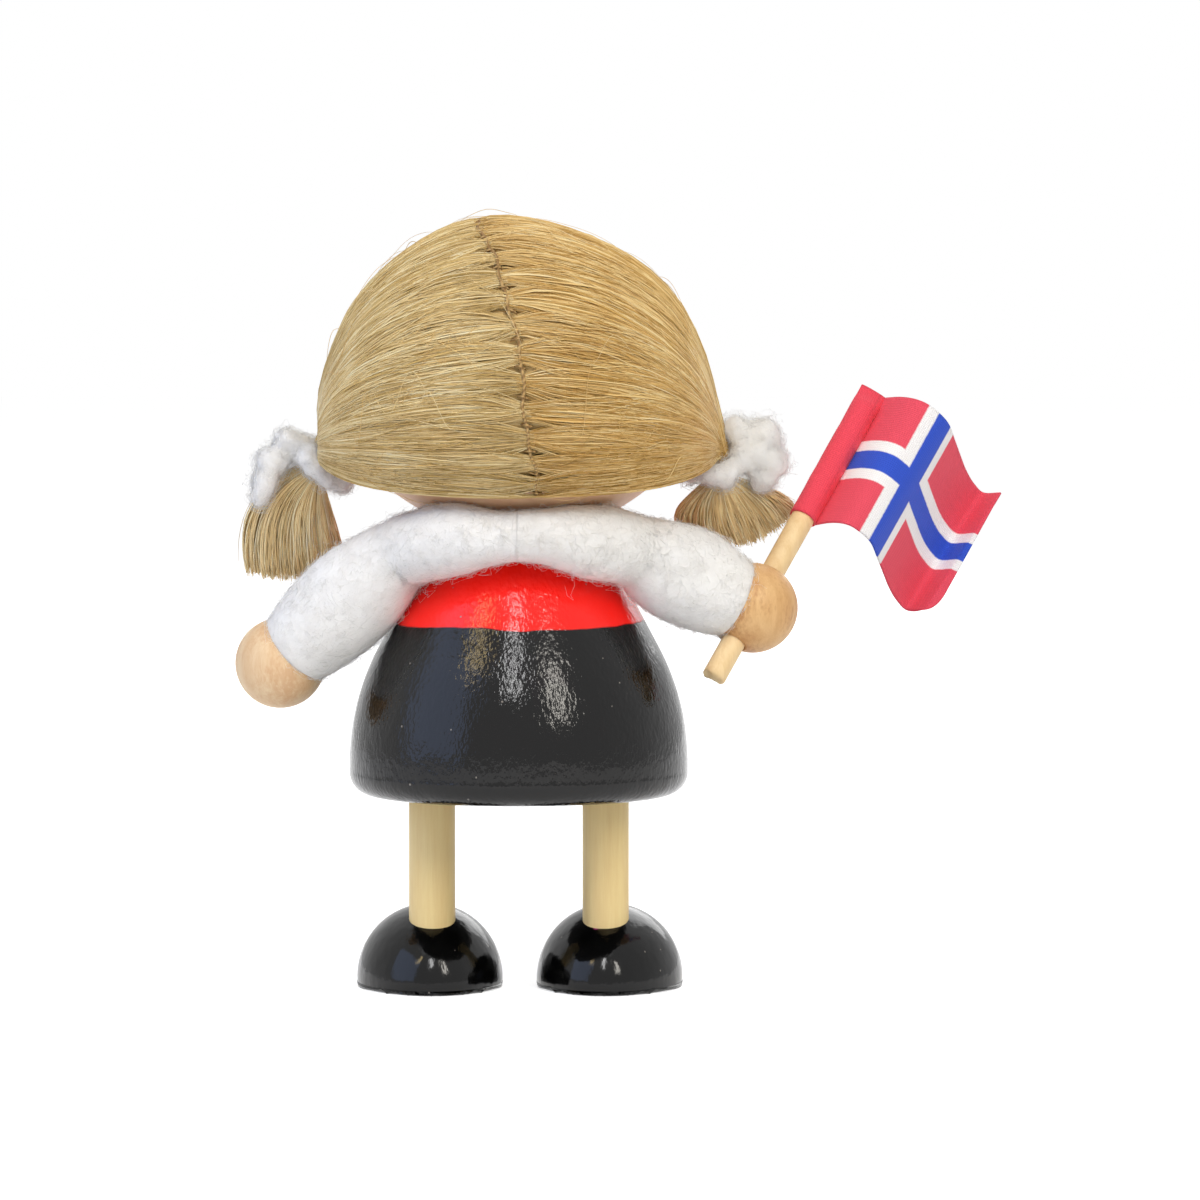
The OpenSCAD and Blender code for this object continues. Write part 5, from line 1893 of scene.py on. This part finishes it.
        # The cloth lies flat above the end of the stick
        matrix = turn_to(PLACES.stick, PLACES.hands[Side.RIGHT])
        fly = (matrix.to_3x3().inverted() @ Vector(self.directions()[0])).normalized()
        side = Vector((0, 0, 1)).cross(fly)
        for vertex in mesh.verts:
            k = min(1, max(0, (vertex.co.z - high + self.flat_top) / (0.85 * self.flat_top)))
            thin = 1 - 0.82 * k * k * (3 - 2 * k)
            push = 0.07 * noise.noise(vertex.co * 0.5)
            out = vertex.co.dot(fly) * (1 + push / self.hem_r)
            off = vertex.co.dot(side) * thin * (1 + push / self.hem_r)
            vertex.co = out * fly + off * side + vertex.co.z * Vector((0, 0, 1))
        bmesh.ops.transform(mesh, matrix=matrix, verts=mesh.verts)
        return settle(keep_mesh(mesh, "flag_hem", red), "flag", "flag_cloth")

    def build(self, wood: bpy.types.Material) -> None:
        """Builds the stick, the cloth and the hem.

        Args:
            wood: the bare wood of the dowels.
        """
        cotton = PrintedCotton("printed_cotton", red="ea4f63", white="faf8f9", blue="3054cc", hoist=self.hoist,
                               bar_left=11.0, blue_bar=3.1, white_bar=1.72)
        hem = PrintedCotton("printed_cotton_hem", red="f04a5d", white="faf8f9", blue="3054cc", hoist=self.hoist,
                            bar_left=11.0, blue_bar=3.1, white_bar=1.72)
        self.stick(wood)
        self.sheet(cotton.material())
        self.hem(hem.material())


# Studio


@dataclass
class Studio:
    """Pale floor, soft lights and the camera of the photograph."""

    distance: float = 850.0
    elevation: float = 3.3
    aim: tuple[float, float] = (-10.84, 52.27)
    lens: float = 191.25
    sky: float = 0.295
    lift: float = 0.73

    def camera(self) -> None:
        """Sets the camera behind the doll."""
        data = bpy.data.cameras.new("camera")
        data.lens = self.lens
        data.sensor_width = 36
        data.clip_start = 0.05
        data.clip_end = 20
        camera = bpy.data.objects.new("camera", data)
        tilt = math.radians(self.elevation)
        spot = np.array([self.aim[0], self.distance * math.cos(tilt), self.aim[1] + self.distance * math.sin(tilt)])
        camera.location = Vector(PLACES.row(spot))
        camera.rotation_euler = (math.radians(90 - self.elevation), 0, math.pi)
        bpy.context.scene.collection.objects.link(camera)
        bpy.context.scene.camera = camera

    def light(self, name: str, turn: float, rise: float, size: tuple[float, float], power: float,
              colour: str) -> None:
        """Adds one soft light that shines at the doll.

        Args:
            name: its name.
            turn: angle from the camera's side of the doll towards its left hand, in degrees.
            rise: angle over the floor.
            size: its width and height, in metres.
            power: its power, in watts.
            colour: its colour.
        """
        data = bpy.data.lights.new(name, "AREA")
        data.shape = "RECTANGLE"
        data.size, data.size_y = size
        data.energy = power
        data.color = srgb(colour)[:3]
        lamp = bpy.data.objects.new(name, data)
        a, b = math.radians(turn), math.radians(rise)
        way = Vector((math.sin(a) * math.cos(b), math.cos(a) * math.cos(b), math.sin(b)))
        lamp.location = Vector((0, 0, 0.055)) + way
        lamp.rotation_euler = way.to_track_quat("Z", "Y").to_euler()
        bpy.context.scene.collection.objects.link(lamp)

    def world(self) -> None:
        """Sets an even sky that shows white behind the doll."""
        world = bpy.data.worlds.new("studio")
        bpy.context.scene.world = world
        world.use_nodes = True
        tree = world.node_tree
        shader = tree.nodes["Background"]
        rays = add_node(tree, "ShaderNodeLightPath")
        seen = add_node(tree, "ShaderNodeMath", {
            0: rays.outputs["Is Camera Ray"], 1: rays.outputs["Is Transmission Ray"]}, operation="MAXIMUM")
        shown = add_node(tree, "ShaderNodeMath", {0: seen.outputs[0], 1: rays.outputs["Is Glossy Ray"]},
                         operation="MAXIMUM")
        strength = add_node(tree, "ShaderNodeMapRange", {"Value": shown.outputs[0], "To Min": self.sky, "To Max": 1.0})
        tree.links.new(strength.outputs["Result"], shader.inputs["Strength"])
        shader.inputs["Color"].default_value = (1, 1, 1, 1)

    def floor(self) -> None:
        """Lays the pale floor, lifted to white where nothing shades it."""
        mesh = bmesh.new()
        bmesh.ops.create_grid(mesh, x_segments=1, y_segments=1, size=3)
        data = bpy.data.meshes.new("floor")
        mesh.to_mesh(data)
        mesh.free()
        material, tree, shader = start_material("studio_paper")
        shader.inputs["Base Color"].default_value = srgb("f2f2f2")
        shader.inputs["Roughness"].default_value = 0.9
        shader.inputs["Specular IOR Level"].default_value = 0.0
        rays = add_node(tree, "ShaderNodeLightPath")
        seen = add_node(tree, "ShaderNodeMath", {
            0: rays.outputs["Is Camera Ray"], 1: rays.outputs["Is Transmission Ray"]}, operation="MAXIMUM")
        shown = add_node(tree, "ShaderNodeMath", {0: seen.outputs[0], 1: rays.outputs["Is Glossy Ray"]},
                         operation="MAXIMUM")
        glow = add_node(tree, "ShaderNodeMath", {0: shown.outputs[0], 1: self.lift}, operation="MULTIPLY")
        shader.inputs["Emission Color"].default_value = (1, 1, 1, 1)
        tree.links.new(glow.outputs[0], shader.inputs["Emission Strength"])
        data.materials.append(material)
        piece = bpy.data.objects.new("floor", data)
        bpy.context.scene.collection.objects.link(piece)

    def build(self) -> None:
        """Sets everything up."""
        bpy.context.scene.view_settings.view_transform = "Standard"
        self.camera()
        self.world()
        self.floor()
        self.light("window", 62, 24, (0.8, 0.85), 3.1, "a8c6ff")
        self.light("strip_near", 5, 43, (0.1, 0.42), 2.4, "ffffff")
        self.light("strip_right", -30, 33, (0.12, 0.5), 3.2, "fffaf0")
        self.light("lamp", 43, 47, (0.11, 0.3), 1.0, "ffe2a0")
        self.light("fill", 195, 30, (0.7, 0.7), 3.0, "ffffff")
        self.light("top", 10, 84, (0.7, 0.7), 1.2, "ffffff")


# The doll


def main() -> None:
    """Builds the doll and the studio."""
    logging.basicConfig(level=logging.INFO, format="%(message)s")
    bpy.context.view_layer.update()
    Studio().build()
    bead = SandedWood("bead_birch", pale="f0d5ac", dark="deb688", along=Vector((0.75, 0.1, -0.6)).normalized(),
                      band_mm=1.9, fleck="cf9160", fleck_share=0.4).material()
    # A darker copy of the bead wood for the right hand, grained along the stick and with more flecks.
    dark_bead = SandedWood("bead_birch_darker", pale="e4bb82", dark="cc985f", along=PLACES.stick, band_mm=1.9,
                           fleck="a9682f", fleck_share=0.6).material()
    dowel = SandedWood("dowel_birch", pale="fde3a2", dark="f3d392", along=Vector((0, 0, 1)), band_mm=1.1).material()
    stick_wood = SandedWood("stick_birch", pale="f6daa8", dark="e4c18a", along=PLACES.stick, band_mm=0.9).material()
    enamel = BrushedEnamel("shoe_enamel", lower="050505", upper="050505", line_z=200.0, grain_mm=0.8,
                           grain_depth=0.035, roughness=0.12, specular=0.3).material()
    TurnedBody().build()
    for side, turn in ((Side.LEFT, 5.0), (Side.RIGHT, 6.0)):
        leg = LegAndShoe(side, toe_turn=turn)
        leg.leg(dowel)
        leg.shoe(enamel)
    BallHead().build(bead)
    frame["nodes"]["neck_peg"].data.materials.clear()
    frame["nodes"]["neck_peg"].data.materials.append(dowel)

    flax = {
        Side.LEFT: CombedFlax("combed_flax_ash", (
            (0.0, "98753a"), (0.3, "cfae6a"), (0.52, "e9cb8d"), (0.75, "f8e4ae"), (1.0, "fff8da"))),
        Side.RIGHT: CombedFlax("combed_flax_gold", (
            (0.0, "96692a"), (0.3, "cba053"), (0.52, "e6bf78"), (0.75, "f6da9a"), (1.0, "fff2ca"))),
    }
    cut_flax = CombedFlax("cut_flax", ((0.0, "bd9a62"), (0.3, "e8cb90"), (0.52, "fae0aa"), (0.75, "fff0c4"),
                                       (1.0, "fff9e2")))
    pigtails = {
        Side.LEFT: Pigtail(Side.LEFT, Vector((26.4, -3, 70.4)), Vector((0.62, -0.25, -0.74)),
                           Vector((29.9, -8.2, 57.4)), Vector((1, 0, 0)), 7.1, 3.4, 1.9, 0.15, open_share=1.1),
        Side.RIGHT: Pigtail(Side.RIGHT, Vector((-26.3, -3, 70.2)), Vector((-0.2, -0.25, -0.95)),
                            Vector((-29.4, -7.1, 63.3)), Vector((-0.96, -0.22, 0.13)), 8.4, 2.3, 3.8, 1.0),
    }
    cap = FlaxCap()
    cap.build(flax, pigtails)
    cap.thread(SewingThread("linen_thread", "c4a168", "8d6b3c").material())
    # The cores take the flax's darkest tone as their painted gap shade.
    mat = cut_flax.mat("bd9a62", 1, 60.0)
    yarn = Wool("bleached_roving", "fffefb", "fbf8f2", 1.4, 0.2, sink=1.0, sink_mm=2.4, sheen=0.3)
    lumps = {
        Side.LEFT: ((1.9, 0.2, 1.05, 1.05), (2.9, 0.7, 0.1, 1), (3.4, 1.25, -1.05, 0.85), (3.6, 1.5, -2.0, 0.62),
                    (-1.3, 0.8, -1.15, 0.6), (-0.65, 1.15, -0.6, 0.68), (0.05, 1.3, 0, 0.72),
                    (0.7, 1.15, 0.6, 0.75)),
        Side.RIGHT: ((-2.0, 0.15, 0.8, 1.35), (-1.3, 0.15, 2.0, 1), (-2.8, 0.1, 1.7, 1.15),
                     (-3.3, 0.1, 0.2, 1.1), (-2.9, 0.1, -0.75, 0.9), (1.5, 0.9, -0.15, 0.6),
                     (0.85, 1.25, -0.4, 0.66), (0.1, 1.35, -0.65, 0.68), (-0.6, 1.2, -0.8, 0.72)),
    }
    for side, pigtail in pigtails.items():
        pigtail.build(cut_flax, mat)
        HairTie(side, pigtail.tie, pigtail.axis, lumps[side]).build(yarn)

    felt = Wool("wool_felt", "f6f5f2", "edebe8", 2.4, 0.08)
    wire = DrawnSteel("drawn_steel").material()
    Sleeve(Side.LEFT, swell=1.55).build(felt, wire, ("sleeve_left", "sleeve_back"), ("arm_wire",))
    Sleeve(Side.RIGHT, swell=1.6).build(felt, wire, ("sleeve_right",), ())
    BeadHand(Side.LEFT).build(bead)
    BeadHand(Side.RIGHT).build(dark_bead)
    HandFlag().build(stick_wood)


if __name__ == "__main__":
    main()
